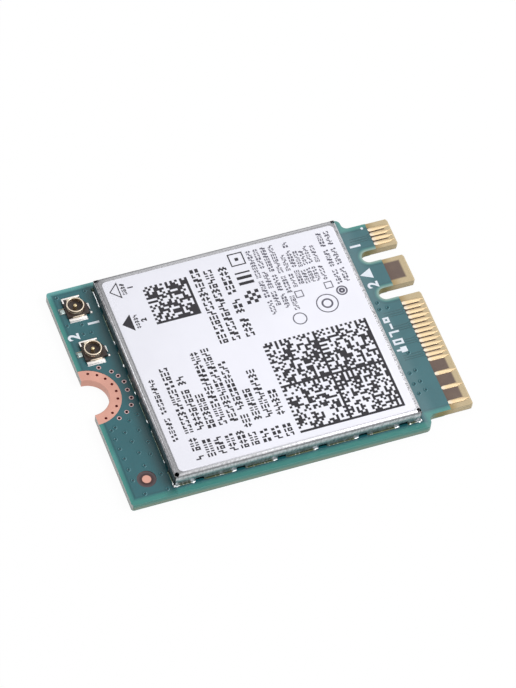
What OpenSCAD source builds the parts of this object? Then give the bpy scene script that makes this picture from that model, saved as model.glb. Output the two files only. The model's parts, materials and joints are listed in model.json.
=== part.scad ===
/* [Board] */
// Length of the board, from the screw end to the tip of the contact tongue
board_l = 30; // [29.5:0.5:42]
// Width of the board
board_w = 22; // [21.5:0.5:26]
// Thickness of the finished board, with copper and solder mask on both faces
board_t = 0.8; // [0.6:0.05:1.2]
// Thickness of each outer copper layer
copper_t = 0.035; // [0.02:0.005:0.07]
// Thickness of the solder mask over the copper
mask_t = 0.025; // [0.015:0.005:0.04]
// Bare margin between the board's edge and the ground copper
pour_margin = 0.5; // [0.3:0.05:0.8]
// Radius of the two corners at the screw end
corner_r = 0.25; // [0.1:0.05:0.6]

/* [Contact tongue] */
// Length of the tongue that enters the card socket
tongue_l = 4; // [3.8:0.1:5]
// Width of the tongue
tongue_w = 19.85; // [19.6:0.05:20.4]
// Radius of the shoulders and of the fillets beside the tongue
shoulder_r = 0.5; // [0.2:0.05:0.9]
// Corner chamfer of each tab of the tongue
tab_chamfer = 0.14; // [0.06:0.02:0.4]
// Length of the lead-in bevel at the tongue's tip
bevel_l = 0.15; // [0.05:0.05:0.3]
// Depth of the lead-in bevel on each face
bevel_h = 0.1; // [0.05:0.01:0.2]
// Width of each key slot
key_w = 1.2; // [1:0.05:1.4]
// Depth of each key slot, round end included
key_depth = 3.5; // [3:0.1:3.8]
// Place of the upper key slot across the tongue
key_a_y = 6.625; // [6.4:0.025:6.9]
// Place of the lower key slot across the tongue
key_e_y = 2.625; // [2.4:0.025:2.9]

/* [Contacts] */
// Width of one contact finger
finger_w = 0.37; // [0.25:0.01:0.4]
// Pitch of the contact fingers
finger_pitch = 0.5; // [0.45:0.01:0.55]
// Height of a finger over the laminate, gold included
finger_t = 0.04; // [0.03:0.005:0.055]
// Distance from the tongue's tip back to the fingers' points
finger_tip_in = 0.3; // [0.25:0.05:0.5]
// Length of the bare fingers on the top face
finger_l_top = 1.7; // [1.4:0.05:2]
// Length of the bare fingers on the underside
finger_l_bottom = 2.2; // [1.9:0.05:2.4]
// Length of the tapered tip of a finger
finger_tip_l = 0.37; // [0.2:0.01:0.6]
// Width of a finger at its very tip, and of the plating tail that leaves it
finger_tip_w = 0.08; // [0.05:0.01:0.2]
// Width of the trace that leads away from a finger
trace_w = 0.12; // [0.08:0.01:0.14]
// Length of the traces under the mask
trace_l = 1.9; // [1:0.1:2]
// Clear gap between a trace and the ground copper
trace_gap = 0.1; // [0.06:0.01:0.12]
// Distance between the two traces of a signal pair
pair_pitch = 0.26; // [0.22:0.01:0.3]
// Width of the neck that joins a ground finger to the ground copper
neck_w = 0.24; // [0.15:0.01:0.25]

/* [Screw end] */
// Radius of the half-round screw notch, plating included
notch_r = 1.75; // [1.5:0.05:2]
// Radius of the bare copper land round the notch
land_r = 2.75; // [2.7:0.05:3]
// Radius of the plated drill holes
via_r = 0.12; // [0.08:0.01:0.14]
// Thickness of the plating in holes and in the notch
plating_t = 0.03; // [0.02:0.005:0.05]
// Radius of the ring round each loose drill hole
via_ring_r = 0.2; // [0.17:0.01:0.24]
// Radius on which the land's own drill holes lie
land_via_r = 2.42; // [2.3:0.01:2.5]
// Number of drill holes in the land
land_via_n = 9; // [5:2:9]
// Angle between neighbouring holes of the land
land_via_step = 18; // [15:1:18]
// Radius of a fiducial's copper dot
fiducial_r = 0.4; // [0.3:0.05:0.5]
// Radius of the opening round a fiducial
fiducial_clear_r = 0.8; // [0.65:0.05:0.9]

/* [Shield can] */
// Outside length of the can
can_l = 21.35; // [19:0.05:21.5]
// Outside width of the can
can_w = 20.5; // [20:0.05:20.8]
// Height of the can over the board
can_h = 1.38; // [1.25:0.01:1.6]
// Thickness of the can's sheet
sheet_t = 0.15; // [0.1:0.01:0.2]
// Outside radius of the can's folds
fold_r = 0.27; // [0.22:0.01:0.35]
// Distance from the board's shoulder back to the can
can_setback = 0.8; // [0.7:0.05:1]
// Radius of the relief hole at each corner of the can
relief_r = 0.19; // [0.12:0.01:0.24]
// Width of the slit between two neighbouring walls
slit_w = 0.07; // [0.04:0.01:0.1]
// Width of the gaps between the can's feet
foot_gap_w = 0.75; // [0.5:0.05:0.9]
// Height of the gaps between the can's feet
foot_gap_h = 0.36; // [0.3:0.02:0.5]
// Corner radius at the top of those gaps
foot_gap_r = 0.12; // [0.05:0.01:0.14]
// Distance from the screw end of a long wall to its first gap
side_gap_first = 2.15; // [1.5:0.05:2.5]
// Distance from the last gap of a long wall to its contact end
side_gap_last = 1.55; // [1.2:0.05:2.5]
// Number of gaps in a long wall
side_gap_n = 6; // [4:1:6]
// Width of the tinned land under the can's feet
can_land_w = 0.55; // [0.45:0.01:0.6]
// Reach of the solder fillets at the feet
fillet_r = 0.12; // [0.1:0.01:0.19]

/* [Label] */
// Thickness of the label
label_t = 0.08; // [0.05:0.01:0.15]
// Corner radius of the label
label_r = 0.4; // [0.2:0.05:0.8]
// Bare sheet between the label and the can's screw end
label_gap_screw = 0.48; // [0.4:0.02:0.8]
// Bare sheet between the label and the can's contact end
label_gap_contact = 0.4; // [0.4:0.02:0.8]
// Bare sheet between the label and the can's near wall
label_gap_near = 0.28; // [0.28:0.02:0.8]
// Bare sheet between the label and the can's far wall
label_gap_far = 0.57; // [0.4:0.02:0.8]
// Thickness of the print on the label and of the board's legend
ink_t = 0.012; // [0.008:0.002:0.02]

/* [Antenna receptacles] */
// Distance of the receptacles from the screw end
socket_in = 1.85; // [1.75:0.05:1.9]
// Distance of the first receptacle from the far edge
socket_1_in = 2.15; // [2:0.05:2.4]
// Distance between the two receptacles
socket_pitch = 4.55; // [4.3:0.05:4.6]
// Outside radius of the contact ring
ring_r = 0.75; // [0.7:0.01:0.78]
// Wall of the contact ring
ring_wall = 0.1; // [0.08:0.01:0.14]
// Height of the ring over the board
ring_h = 0.58; // [0.5:0.01:0.7]
// Height of the plastic base over the board
base_h = 0.28; // [0.24:0.01:0.32]
// Length of the plastic base
base_l = 1.9; // [1.8:0.05:2]
// Width of the plastic base
base_w = 1.76; // [1.7:0.02:1.9]
// Length of the ground feet on both sides of the base
foot_l = 1.56; // [1.2:0.02:1.7]
// Reach of the ground feet beside the base
foot_reach = 0.4; // [0.3:0.02:0.45]
// Radius of the centre pin
pin_r = 0.16; // [0.12:0.01:0.2]
// Height of the centre pin over the board
pin_h = 0.54; // [0.4:0.01:0.56]
// Width of the centre pin's tail
tail_w = 0.44; // [0.3:0.02:0.5]
// Reach of the tail beside the base
tail_reach = 0.42; // [0.3:0.02:0.5]
// Thickness of the receptacles' metal feet
strip_t = 0.1; // [0.08:0.01:0.12]

/* [Parts under the can] */
// Thickness of the solder between a pad and a part
solder_t = 0.03; // [0.02:0.005:0.05]
// Thickness of a chip's leads
lead_t = 0.05; // [0.03:0.005:0.08]
// Side of the radio chip
radio_side = 7; // [6:0.5:8]
// Height of the radio chip's body
radio_h = 0.8; // [0.6:0.05:0.9]
// Number of leads on each side of the radio chip
radio_lead_n = 16; // [8:1:18]
// Length of a chip capacitor or resistor
chip_l = 1; // [0.8:0.05:1.1]
// Width of a chip capacitor or resistor
chip_w = 0.5; // [0.4:0.05:0.55]
// Length of each metal end of a chip part
chip_end_l = 0.25; // [0.2:0.01:0.3]

/* [Hidden] */
$fn = 48;

// Tiny overrun of a cut past the face that it opens
over = 0.01;
// Long overrun of a cut that goes right through
past = 1;
// Smallest corner radius that is left where an outline is pulled in
least_r = 0.05;

// Levels of the board, from its underside up
skin_t = copper_t + mask_t;
lam_z0 = skin_t;
lam_z1 = board_t - skin_t;
copper_z0 = mask_t;
copper_z1 = board_t - mask_t;

// Ends of the board along X
screw_x = -board_l / 2;
tip_x = board_l / 2;
shoulder_x = tip_x - tongue_l;
finger_x1 = tip_x - finger_tip_in;
mask_x_top = finger_x1 - finger_l_top;
mask_x_bottom = finger_x1 - finger_l_bottom;
pour_end_in = 0.1;

// Corners of the can
can_x1 = shoulder_x - can_setback;
can_x0 = can_x1 - can_l;
can_y1 = can_w / 2;
can_y0 = -can_w / 2;
can_z1 = board_t + can_h;
can_room_h = can_h - sheet_t;

// Centres of the gaps between the can's feet, along each kind of wall
side_gap_step = (can_l - side_gap_first - side_gap_last) / (side_gap_n - 1);
side_gaps = [for (i = [0 : side_gap_n - 1]) can_x0 + side_gap_first + i * side_gap_step];
end_gaps = [-8.3, -4.2, -1.25, 1.6, 4.05, 7.95];
relief_in = 0.8 * fold_r;

// Contact fingers: slots counted from the far side, before the key slots take theirs. The two fingers of
// a signal pair follow each other, and the other fingers of the top face are ground
key_clear = 0.1;
pair_slots = [1, 17, 20, 23, 26];
ground_slots = [0, 3, 16, 19, 22, 25, 28, 31, 34, 37];
trace_root_l = 0.15;
top_slots = concat([0, 1, 2, 3], [for (i = [16 : 28]) i], [31, 34, 37]);
bottom_slots = concat([0, 1, 2], [7, 8, 9, 10], [for (i = [15 : 36]) i]);
top_y0 = 18.5 * finger_pitch;
bottom_y0 = 18 * finger_pitch;
top_fingers = [for (i = top_slots) if (clear_of_keys(top_y0 - i * finger_pitch)) top_y0 - i * finger_pitch];
bottom_fingers =
    [for (i = bottom_slots) if (clear_of_keys(bottom_y0 - i * finger_pitch)) bottom_y0 - i * finger_pitch];

// Loose drill holes round the screw land: distance past the land and angle about the notch's centre
notch_via_at = [
    [0.43, 55.5], [0.56, 36.1], [0.6, 24.3], [0.65, 11.7], [0.58, -2.8],
    [0.77, -16.5], [0.81, -28], [0.64, -40.9], [0.42, -55.8]
];
drill_r = via_r + plating_t;

// Fiducials, from the board's corners
fiducial_in = 1.95;
fiducial_side_in = 2.1;
fiducial_top = [screw_x + fiducial_in, -board_w / 2 + fiducial_side_in];
fiducial_bottom = [screw_x + fiducial_in, board_w / 2 - fiducial_side_in];

// Round test pads on the underside: a far row, a near row and a pair
test_pad_r = 0.45;
test_pad_step = 2.4;
test_far_row = [-8, 6.2];
test_near_row = [-6.8, -6.4];
test_pair = [6.6, 1.4];
test_pad_at = [
    for (i = [0 : 5]) [test_far_row[0] + test_pad_step * i, test_far_row[1]],
    for (i = [0 : 3]) [test_near_row[0] + test_pad_step * i, test_near_row[1]],
    [test_pair[0], -test_pair[1]],
    test_pair
];

// Inner ground copper that shows dark through the bare laminate of the tongue
inner_t = 0.035;
inner_depth = 0.09;
inner_tip_in = 0.6;
inner_x1 = tip_x - inner_tip_in;
inner_edge = 0.1;
inner_key_e_in = 0.55;
inner_key_a_in = 0.43;
inner_tab = [key_e_y + key_w / 2 + inner_key_e_in, key_a_y - key_w / 2 - inner_key_a_in];
// Under the fingers: first and last slot
inner_slots = [[0, 3], [16, 37]];

// Receptacles
socket_x = screw_x + socket_in;
socket_y = [board_w / 2 - socket_1_in, board_w / 2 - socket_1_in - socket_pitch];
base_shift = 0.05;
ring_seat = 0.075;
ring_z0 = base_h - ring_seat;
strap_z0 = ring_z0 - strip_t;
bowl_h = 0.16;
bowl_r = ring_r - ring_wall - 0.06;
strap_y0 = ring_r - ring_wall - 0.01;
base_cut = [0.45, 0.75];
foot_y0 = base_w / 2;
foot_y1 = foot_y0 + foot_reach;
tail_x = -base_l / 2 + base_shift - tail_reach;
strap_w = 1;
pad_skirt = 0.06;
side_pad = [0.22, 0.5];
side_solder = 0.2;

// Chips under the can: centre, size along X and Y, body height
part_z = board_t + solder_t;
radio_at = [2.6, -1.6];
front_end_at = [[-6.3, 6.4], [-6.3, 1.6]];
front_end_side = 3;
front_end_h = 0.7;
filter_at = [[-9.2, 7.9], [-9.2, 3]];
filter_size = [1.25, 2];
filter_h = 0.75;
crystal_at = [-5.2, -5.8];
crystal_size = [2.5, 2];
crystal_base_h = 0.42;
crystal_lid_h = 0.12;
crystal_rim = 0.12;
memory_at = [7.4, 6.2];
memory_size = [2, 3];
memory_h = 0.6;
regulator_at = [7.6, -7.4];
regulator_side = 3;
regulator_h = 0.75;
inductor_at = [[7.7, -3.9], [4, -8.2]];
inductor_size = [2.5, 2];
inductor_h = 1;
inductor_end_l = 0.5;
chip_h = 0.5;
resistor_h = 0.32;
pad_l = 0.35;
radio_thermal = radio_side - 2;
radio_lead_w = 0.2;
radio_lead_l = 0.4;
radio_corner = 0.8;
radio_lead_step = (radio_side - 2 * radio_corner) / (radio_lead_n - 1);
pad_share = 0.6;
dot_r = 0.15;
dot_in = 0.4;
dot_depth = 0.03;
lid_in = 0.05;
lid_r = 0.15;

// Chip capacitors and resistors: centre, and true where the part lies along Y
capacitor_at = [
    [-1.3, 3.3, true], [0.1, 3.3, true], [1.5, 3.3, true], [2.9, 3.3, true],
    [4.3, 3.3, true], [-2.6, 1.1, false], [-2.6, -0.1, false],
    [-2.6, -1.3, false], [-2.6, -2.5, false], [-2.6, -3.7, false],
    [-0.2, -6.6, true], [1, -6.6, true], [7.6, 0.6, false], [7.6, -0.6, false],
    [4.9, 7.2, false], [4.9, 6, false], [-3.4, 8.4, false], [-9.4, -0.6, true],
    [-9.4, -2.4, true], [-9.4, 5.4, false]
];
resistor_at = [
    [0.4, 6.6, true], [1.6, 6.6, true], [2.8, 6.6, true], [-1.6, 8.6, false],
    [-3.2, 4.2, true], [-7.6, -7.8, false], [-2.2, -8.4, false], [-6.9, -2.4, true]
];

// Print on the label, from the label's middle: rows of words that run along Y
label_x0 = can_x0 + label_gap_screw;
label_x1 = can_x1 - label_gap_contact;
label_y0 = can_y0 + label_gap_near;
label_y1 = can_y1 - label_gap_far;
label_z = can_z1;
print_z = label_z + label_t;
mark_w = 0.88;
mark_l = 1.68;
mark_tip_line = 0.19;
mark_base_line = 0.12;
mark_side_line = 0.3;
mark_in = 0.34;
open_mark_in = 1.15;
full_mark_in = 4.58;
row_h = 0.62;
row_step = 0.96;
row_in = 1.68;
row_near_in = 0.65;
row_length = [9.4, 8.3, 6.2, 10.2, 10.3, 8.6, 5.5, 7.2, 4.8];
far_row_length = [8, 7.6, 7.5];
far_row_in = [7.4, 8.45, 9.7];
far_row_end = 0.85;
word_l = 1.3;
word_gap = 0.3;
small_code = [3.88, 3.87];
small_code_in = [3.04, 1.48];
big_code = [9.11, 9.16];
big_code_in = [10.59, 0.6];
code_border = 0.18;
code_cells = 6;
cell_gap = 0.06;

function clear_of_keys(y) =
    min(abs(y - key_a_y), abs(y - key_e_y)) >= (key_w + finger_w) / 2 + key_clear;

// Feet of one wall as [start, end] pairs, between two ends and round a list of gaps
function feet(lo, hi, gaps) = [
    for (i = [0 : len(gaps)])
        [i == 0 ? lo : gaps[i - 1] + foot_gap_w / 2, i == len(gaps) ? hi : gaps[i] - foot_gap_w / 2]
];

side_feet = feet(can_x0, can_x1, side_gaps);
end_feet = feet(can_y0, can_y1, end_gaps);

// Plan shapes

module box2(x0, y0, x1, y1) {
    translate([x0, y0]) square([x1 - x0, y1 - y0]);
}

module round_box2(x0, y0, x1, y1, r) {
    box2(x0 + r, y0, x1 - r, y1);
    box2(x0, y0 + r, x1, y1 - r);
    for (x = [x0 + r, x1 - r])
        for (y = [y0 + r, y1 - r])
            translate([x, y]) circle(r);
}

// One tab of the tongue, drawn past its root, with both tip corners chamfered
module tab2(y0, y1, inset) {
    c = tab_chamfer;
    x1 = tip_x - inset;
    polygon([
        [shoulder_x - past, y0], [x1 - c, y0], [x1, y0 + c],
        [x1, y1 - c], [x1 - c, y1], [shoulder_x - past, y1]
    ]);
}

module key_slot2(y, inset) {
    r = key_w / 2 + inset;
    end_x = tip_x - key_depth + key_w / 2;
    box2(end_x, y - r, tip_x + past, y + r);
    translate([end_x, y]) circle(r);
}

// Board outline, pulled in from every edge by inset
module outline2(inset = 0) {
    half = tongue_w / 2 - inset;
    r = max(shoulder_r - inset, least_r);
    fillet = shoulder_r + inset;
    difference() {
        union() {
            round_box2(screw_x + inset, -board_w / 2 + inset, shoulder_x - inset, board_w / 2 - inset, r);
            for (s = [-1, 1])
                screw_corner2(s, inset);
            tab2(key_a_y + key_w / 2 + inset, half, inset);
            tab2(key_e_y + key_w / 2 + inset, key_a_y - key_w / 2 - inset, inset);
            tab2(-half, key_e_y - key_w / 2 - inset, inset);
            box2(shoulder_x - past, -half, tip_x - key_depth + key_w / 2, half);
            for (s = [-1, 1])
                shoulder_fillet2(s, half, fillet, inset);
        }
        translate([screw_x, 0]) circle(notch_r + plating_t + inset);
        key_slot2(key_a_y, inset);
        key_slot2(key_e_y, inset);
    }
}

// Fills the rounded box's corner at the screw end back to the small corner radius
module screw_corner2(s, inset) {
    r = max(corner_r - inset, least_r);
    side = 2 * past;
    y0 = s > 0 ? board_w / 2 - inset - side : -board_w / 2 + inset;
    round_box2(screw_x + inset, y0, screw_x + inset + side, y0 + side, r);
}

module shoulder_fillet2(s, half, fillet, inset) {
    difference() {
        box2(shoulder_x - inset - over, s > 0 ? half - over : -half - fillet,
             shoulder_x - inset + fillet, s > 0 ? half + fillet : -half + over);
        translate([shoulder_x - inset + fillet, s * (half + fillet)]) circle(fillet);
    }
}

// One finger: a round root, straight sides, a pointed tip and the thin tail left from plating
module finger2(y, length) {
    r = finger_w / 2;
    t = finger_tip_w / 2;
    x0 = finger_x1 - length + r;
    translate([x0, y]) circle(r);
    polygon([
        [x0, y - r], [finger_x1 - finger_tip_l, y - r], [finger_x1, y - t], [tip_x - bevel_l, y - t],
        [tip_x - bevel_l, y + t], [finger_x1, y + t], [finger_x1 - finger_tip_l, y + r], [x0, y + r]
    ]);
}

module trace2(y, root_x, extra = 0) {
    box2(root_x - trace_l - extra, y - trace_w / 2 - extra, root_x + finger_w / 2, y + trace_w / 2 + extra);
}

// Trace of one finger of a pair: it leaves the finger straight, steps towards its fellow and runs on
module pair_trace2(y, run_y, extra) {
    h = trace_w / 2 + extra;
    x1 = mask_x_top - trace_root_l;
    x2 = x1 - abs(run_y - y);
    box2(x1, y - h, mask_x_top + finger_w / 2, y + h);
    polygon([[x1, y - h], [x1, y + h], [x2, run_y + h], [x2, run_y - h]]);
    box2(mask_x_top - trace_l - extra, run_y - h, x2, run_y + h);
}

// Traces of the signal pairs on the top face, widened by extra
module top_traces2(extra = 0) {
    for (i = pair_slots)
        for (s = [-1, 1]) {
            middle = top_y0 - (i + 1 / 2) * finger_pitch;
            y = middle + s * finger_pitch / 2;
            if (clear_of_keys(y))
                pair_trace2(y, middle + s * pair_pitch / 2, extra);
        }
}

// Necks that join the ground fingers of the top face to the ground copper
module top_necks2() {
    for (i = ground_slots) {
        y = top_y0 - i * finger_pitch;
        if (clear_of_keys(y))
            box2(mask_x_top - pour_end_in, y - neck_w / 2, mask_x_top + finger_w / 2, y + neck_w / 2);
    }
}

// Half-round land about the notch, cut off at the board's end
module land2() {
    intersection() {
        translate([screw_x, 0]) circle(land_r);
        box2(screw_x, -land_r, screw_x + land_r, land_r);
    }
}

module at_land_vias() {
    for (i = [0 : land_via_n - 1])
        rotate((i - (land_via_n - 1) / 2) * land_via_step)
            translate([land_via_r, 0]) children();
}

module at_notch_vias() {
    for (p = notch_via_at)
        translate([screw_x, 0]) rotate(p[1]) translate([land_r + p[0], 0]) children();
}

module slab(z0, z1) {
    translate([0, 0, z0]) linear_extrude(z1 - z0) children();
}

// Lands of the can's feet, in plan
module can_lands2() {
    out = can_land_w / 2;
    mid = sheet_t / 2;
    for (f = side_feet)
        for (s = [-1, 1])
            box2(f[0] == can_x0 ? can_x0 + mid - out : f[0], s * (can_y1 - mid) - out,
                 f[1] == can_x1 ? can_x1 - mid + out : f[1], s * (can_y1 - mid) + out);
    for (f = end_feet)
        for (x = [can_x0 + mid, can_x1 - mid])
            box2(x - out, f[0] == can_y0 ? can_y0 + mid - out : f[0],
                 x + out, f[1] == can_y1 ? can_y1 - mid + out : f[1]);
}

// Pads of one receptacle, in plan
module socket_pads2() {
    for (s = [-1, 1])
        box2(-foot_l / 2 - pad_skirt, s > 0 ? foot_y0 : -foot_y1 - pad_skirt,
             foot_l / 2 + pad_skirt, s > 0 ? foot_y1 + pad_skirt : -foot_y0);
    box2(tail_x - pad_skirt, -tail_w / 2 - pad_skirt, -base_l / 2 + base_shift, tail_w / 2 + pad_skirt);
    box2(base_l / 2 + base_shift, -side_pad[1] / 2, base_l / 2 + base_shift + side_pad[0], side_pad[1] / 2);
}

module at_sockets() {
    for (y = socket_y)
        translate([socket_x, y]) children();
}

// Two end pads of a part, in plan, with the part's middle at the origin
module end_pads2(length, width, pad) {
    for (s = [-1, 1])
        translate([s * (length - pad) / 2 - pad / 2, -width / 2]) square([pad, width]);
}

module chip_pads2(length, width, n, pad) {
    step = width / n;
    for (i = [0 : n - 1])
        for (s = [-1, 1])
            translate([s * (length / 2 - pad / 2) - pad / 2,
                       (i - (n - 1) / 2) * step - step * pad_share / 2])
                square([pad, step * pad_share]);
}

module radio_pads2() {
    for (a = [0 : 90 : 270])
        rotate(a)
            for (i = [0 : radio_lead_n - 1])
                translate([radio_side / 2 - radio_lead_l,
                           (i - (radio_lead_n - 1) / 2) * radio_lead_step - radio_lead_w / 2])
                    square([radio_lead_l, radio_lead_w]);
    square(radio_thermal, center = true);
}

module turned(p) {
    translate([p[0], p[1]]) rotate(p[2] ? 90 : 0) children();
}

// Every pad of the parts under the can, in plan
module part_pads2() {
    translate(radio_at) radio_pads2();
    for (p = front_end_at)
        translate(p) chip_pads2(front_end_side, front_end_side, 4, pad_l);
    for (p = filter_at)
        translate(p) chip_pads2(filter_size[0], filter_size[1], 3, pad_l);
    translate(crystal_at) chip_pads2(crystal_size[0], crystal_size[1], 2, pad_l * 2);
    translate(memory_at) chip_pads2(memory_size[0], memory_size[1], 4, pad_l);
    translate(regulator_at) chip_pads2(regulator_side, regulator_side, 4, pad_l);
    for (p = inductor_at)
        translate(p) end_pads2(inductor_size[0], inductor_size[1], inductor_end_l);
    for (p = capacitor_at)
        turned(p) end_pads2(chip_l, chip_w, chip_end_l);
    for (p = resistor_at)
        turned(p) end_pads2(chip_l, chip_w, chip_end_l);
}

// Bare board

module board_core() color([0.62, 0.57, 0.42]) {
    difference() {
        slab(lam_z0, lam_z1) outline2();
        for (z = [0, 1])
            tip_bevel(z);
        slab(0, board_t) translate([screw_x, 0]) at_land_vias() circle(drill_r);
        slab(0, board_t) at_notch_vias() circle(drill_r);
        inner_copper();
    }
}

// Wedge along the tip of the tongue, taken off one face of the laminate
module tip_bevel(top) {
    z = top ? lam_z1 : lam_z0;
    d = top ? -bevel_h : bevel_h;
    translate([0, board_w / 2, 0]) rotate([90, 0, 0]) linear_extrude(board_w)
        polygon([
            [tip_x - bevel_l, z], [tip_x + over, z + d * (1 + over / bevel_l)],
            [tip_x + over, z - d], [tip_x - bevel_l, z - d]
        ]);
}

// Ground copper inside the tongue: under the fingers and in the middle of the bare tab
module inner_copper() color([0.45, 0.32, 0.28]) {
    z1 = lam_z1 - inner_depth;
    slab(z1 - inner_t, z1) {
        box2(mask_x_top + inner_edge, inner_tab[0], inner_x1, inner_tab[1]);
        for (i = inner_slots)
            box2(mask_x_top + inner_edge, top_y0 - i[1] * finger_pitch - finger_w / 2,
                 inner_x1, top_y0 - i[0] * finger_pitch + finger_w / 2);
    }
}

module copper_pour_top() color([0.72, 0.45, 0.2]) {
    slab(lam_z1, copper_z1) difference() {
        intersection() {
            outline2(pour_margin);
            box2(screw_x, -board_w / 2, mask_x_top - pour_end_in, board_w / 2);
        }
        land2();
        at_notch_vias() circle(via_ring_r);
        translate(fiducial_top) circle(fiducial_clear_r);
        top_traces2(trace_gap);
        can_lands2();
        at_sockets() socket_pads2();
        part_pads2();
    }
}

module copper_pour_bottom() color([0.72, 0.45, 0.2]) {
    slab(copper_z0, lam_z0) difference() {
        intersection() {
            outline2(pour_margin);
            box2(screw_x, -board_w / 2, mask_x_bottom - pour_end_in, board_w / 2);
        }
        land2();
        at_notch_vias() circle(via_ring_r);
        translate(fiducial_bottom) circle(fiducial_clear_r);
        for (y = bottom_fingers)
            trace2(y, mask_x_bottom, trace_gap);
        for (p = test_pad_at)
            translate(p) circle(test_pad_r);
    }
}

// Solder mask: it fills the steps between the copper and closes over it
module solder_mask_top() color([0.1, 0.42, 0.42]) {
    difference() {
        slab(lam_z1, board_t) difference() {
            intersection() {
                outline2();
                box2(screw_x - past, -board_w / 2, mask_x_top, board_w / 2);
            }
            land2();
            at_notch_vias() circle(via_ring_r);
            translate(fiducial_top) circle(fiducial_clear_r);
            can_lands2();
            at_sockets() socket_pads2();
            part_pads2();
        }
        copper_pour_top();
        slab(lam_z1, lam_z1 + finger_t) {
            top_traces2();
            top_necks2();
        }
    }
}

module solder_mask_bottom() color([0.1, 0.42, 0.42]) {
    difference() {
        slab(0, lam_z0) difference() {
            intersection() {
                outline2();
                box2(screw_x - past, -board_w / 2, mask_x_bottom, board_w / 2);
            }
            land2();
            at_notch_vias() circle(via_ring_r);
            translate(fiducial_bottom) circle(fiducial_clear_r);
            for (p = test_pad_at)
                translate(p) circle(test_pad_r);
        }
        copper_pour_bottom();
        slab(lam_z0 - finger_t, lam_z0) for (y = bottom_fingers)
            trace2(y, mask_x_bottom);
    }
}

module contact_fingers_top() color([0.95, 0.78, 0.42]) {
    slab(lam_z1, lam_z1 + finger_t) {
        for (y = top_fingers)
            finger2(y, finger_l_top);
        top_traces2();
        top_necks2();
    }
}

module contact_fingers_bottom() color([0.95, 0.78, 0.42]) {
    slab(lam_z0 - finger_t, lam_z0) for (y = bottom_fingers) {
        finger2(y, finger_l_bottom);
        trace2(y, mask_x_bottom);
    }
}

// Plated notch: a land on each face, the wall of the notch and the small holes
module screw_land() color([0.88, 0.6, 0.5]) {
    difference() {
        union() {
            slab(lam_z1, copper_z1) land2();
            slab(copper_z0, lam_z0) land2();
            slab(copper_z0, copper_z1) intersection() {
                translate([screw_x, 0]) circle(notch_r + plating_t);
                land2();
            }
            slab(copper_z0, copper_z1) translate([screw_x, 0]) at_land_vias() circle(drill_r);
        }
        slab(-past, board_t + past) translate([screw_x, 0]) circle(notch_r);
        slab(-past, board_t + past) translate([screw_x, 0]) at_land_vias() circle(via_r);
    }
}

module notch_vias() color([0.88, 0.6, 0.5]) {
    difference() {
        union() {
            slab(lam_z1, copper_z1) at_notch_vias() circle(via_ring_r);
            slab(copper_z0, lam_z0) at_notch_vias() circle(via_ring_r);
            slab(copper_z0, copper_z1) at_notch_vias() circle(drill_r);
        }
        slab(-past, board_t + past) at_notch_vias() circle(via_r);
    }
}

module fiducials() color([0.88, 0.6, 0.5]) {
    slab(lam_z1, copper_z1) translate(fiducial_top) circle(fiducial_r);
    slab(copper_z0, lam_z0) translate(fiducial_bottom) circle(fiducial_r);
}

module test_pads() color([0.85, 0.85, 0.83]) {
    slab(copper_z0, lam_z0) for (p = test_pad_at)
        translate(p) circle(test_pad_r);
}

// Printed marks beside the receptacles and the key slots: plain numerals, an arrow, a dot and ticks
legend_stroke = 0.14;
legend_h = 0.9;
legend_w = 0.62;
socket_1_mark = [1.06, -1.83];
socket_2_mark = [-0.99, 1.79];
key_a_mark = [1.22, 0.75];
key_e_mark = [1.22, 0.5];
dot_mark_in = [2.42, 0.38];
dot_mark_r = 0.12;
key_arrow = [0.73, 1.22];
key_arrow_at = [0.7, 1.7];
tick_in = 0.65;
tick_l = 0.85;
tick_w = 0.25;
tick_y = -3.4;
tick_step = 0.8;
tick_n = 5;

module numeral_one2() {
    box2(-legend_h / 2, -legend_stroke / 2, legend_h / 2, legend_stroke / 2);
    box2(-legend_h / 2, -legend_w / 3, -legend_h / 2 + legend_stroke, legend_stroke / 2);
}

module numeral_two2() {
    h = legend_h / 2;
    w = legend_w / 2;
    s = legend_stroke;
    box2(-h, -w, -h + s, w);
    box2(-s / 2, -w, s / 2, w);
    box2(h - s, -w, h, w);
    box2(-h, w - s, s / 2, w);
    box2(-s / 2, -w, h, -w + s);
}

module arrow2(length, width) {
    polygon([[0, 0], [length, -width / 2], [length, width / 2]]);
}

module board_legend() color("white") {
    slab(board_t, board_t + ink_t) {
        translate([socket_x, socket_y[0]] + socket_1_mark) numeral_one2();
        translate([socket_x, socket_y[1]] + socket_2_mark) numeral_two2();
        translate([tip_x - dot_mark_in[0], tongue_w / 2 - dot_mark_in[1]]) circle(dot_mark_r);
        translate([can_x1, key_e_y + key_w / 2] + key_arrow_at) arrow2(key_arrow[0], key_arrow[1]);
        translate([can_x1, key_a_y + key_w / 2] + key_a_mark) numeral_one2();
        translate([can_x1, key_e_y + key_w / 2] + key_e_mark) numeral_two2();
        for (i = [0 : tick_n - 1])
            translate([can_x1 + tick_in, tick_y + i * tick_step]) square([tick_l, tick_w]);
    }
}

// Shield can and label

module shield_lands() color([0.8, 0.8, 0.82]) {
    slab(lam_z1, board_t) can_lands2();
}

// Section of the can across one direction: straight walls and rounded folds
module can_section2(width, height, r) {
    box2(-width / 2, 0, width / 2, height - r);
    box2(-width / 2 + r, 0, width / 2 - r, height);
    for (s = [-1, 1])
        translate([s * (width / 2 - r), height - r]) circle(r);
}

module can_block(length, width, height, r) {
    intersection() {
        translate([0, width / 2, 0]) rotate([90, 0, 0])
            linear_extrude(width) can_section2(length, height, r);
        translate([-length / 2, 0, 0]) rotate([90, 0, 90])
            linear_extrude(length) can_section2(width, height, r);
    }
}

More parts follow.
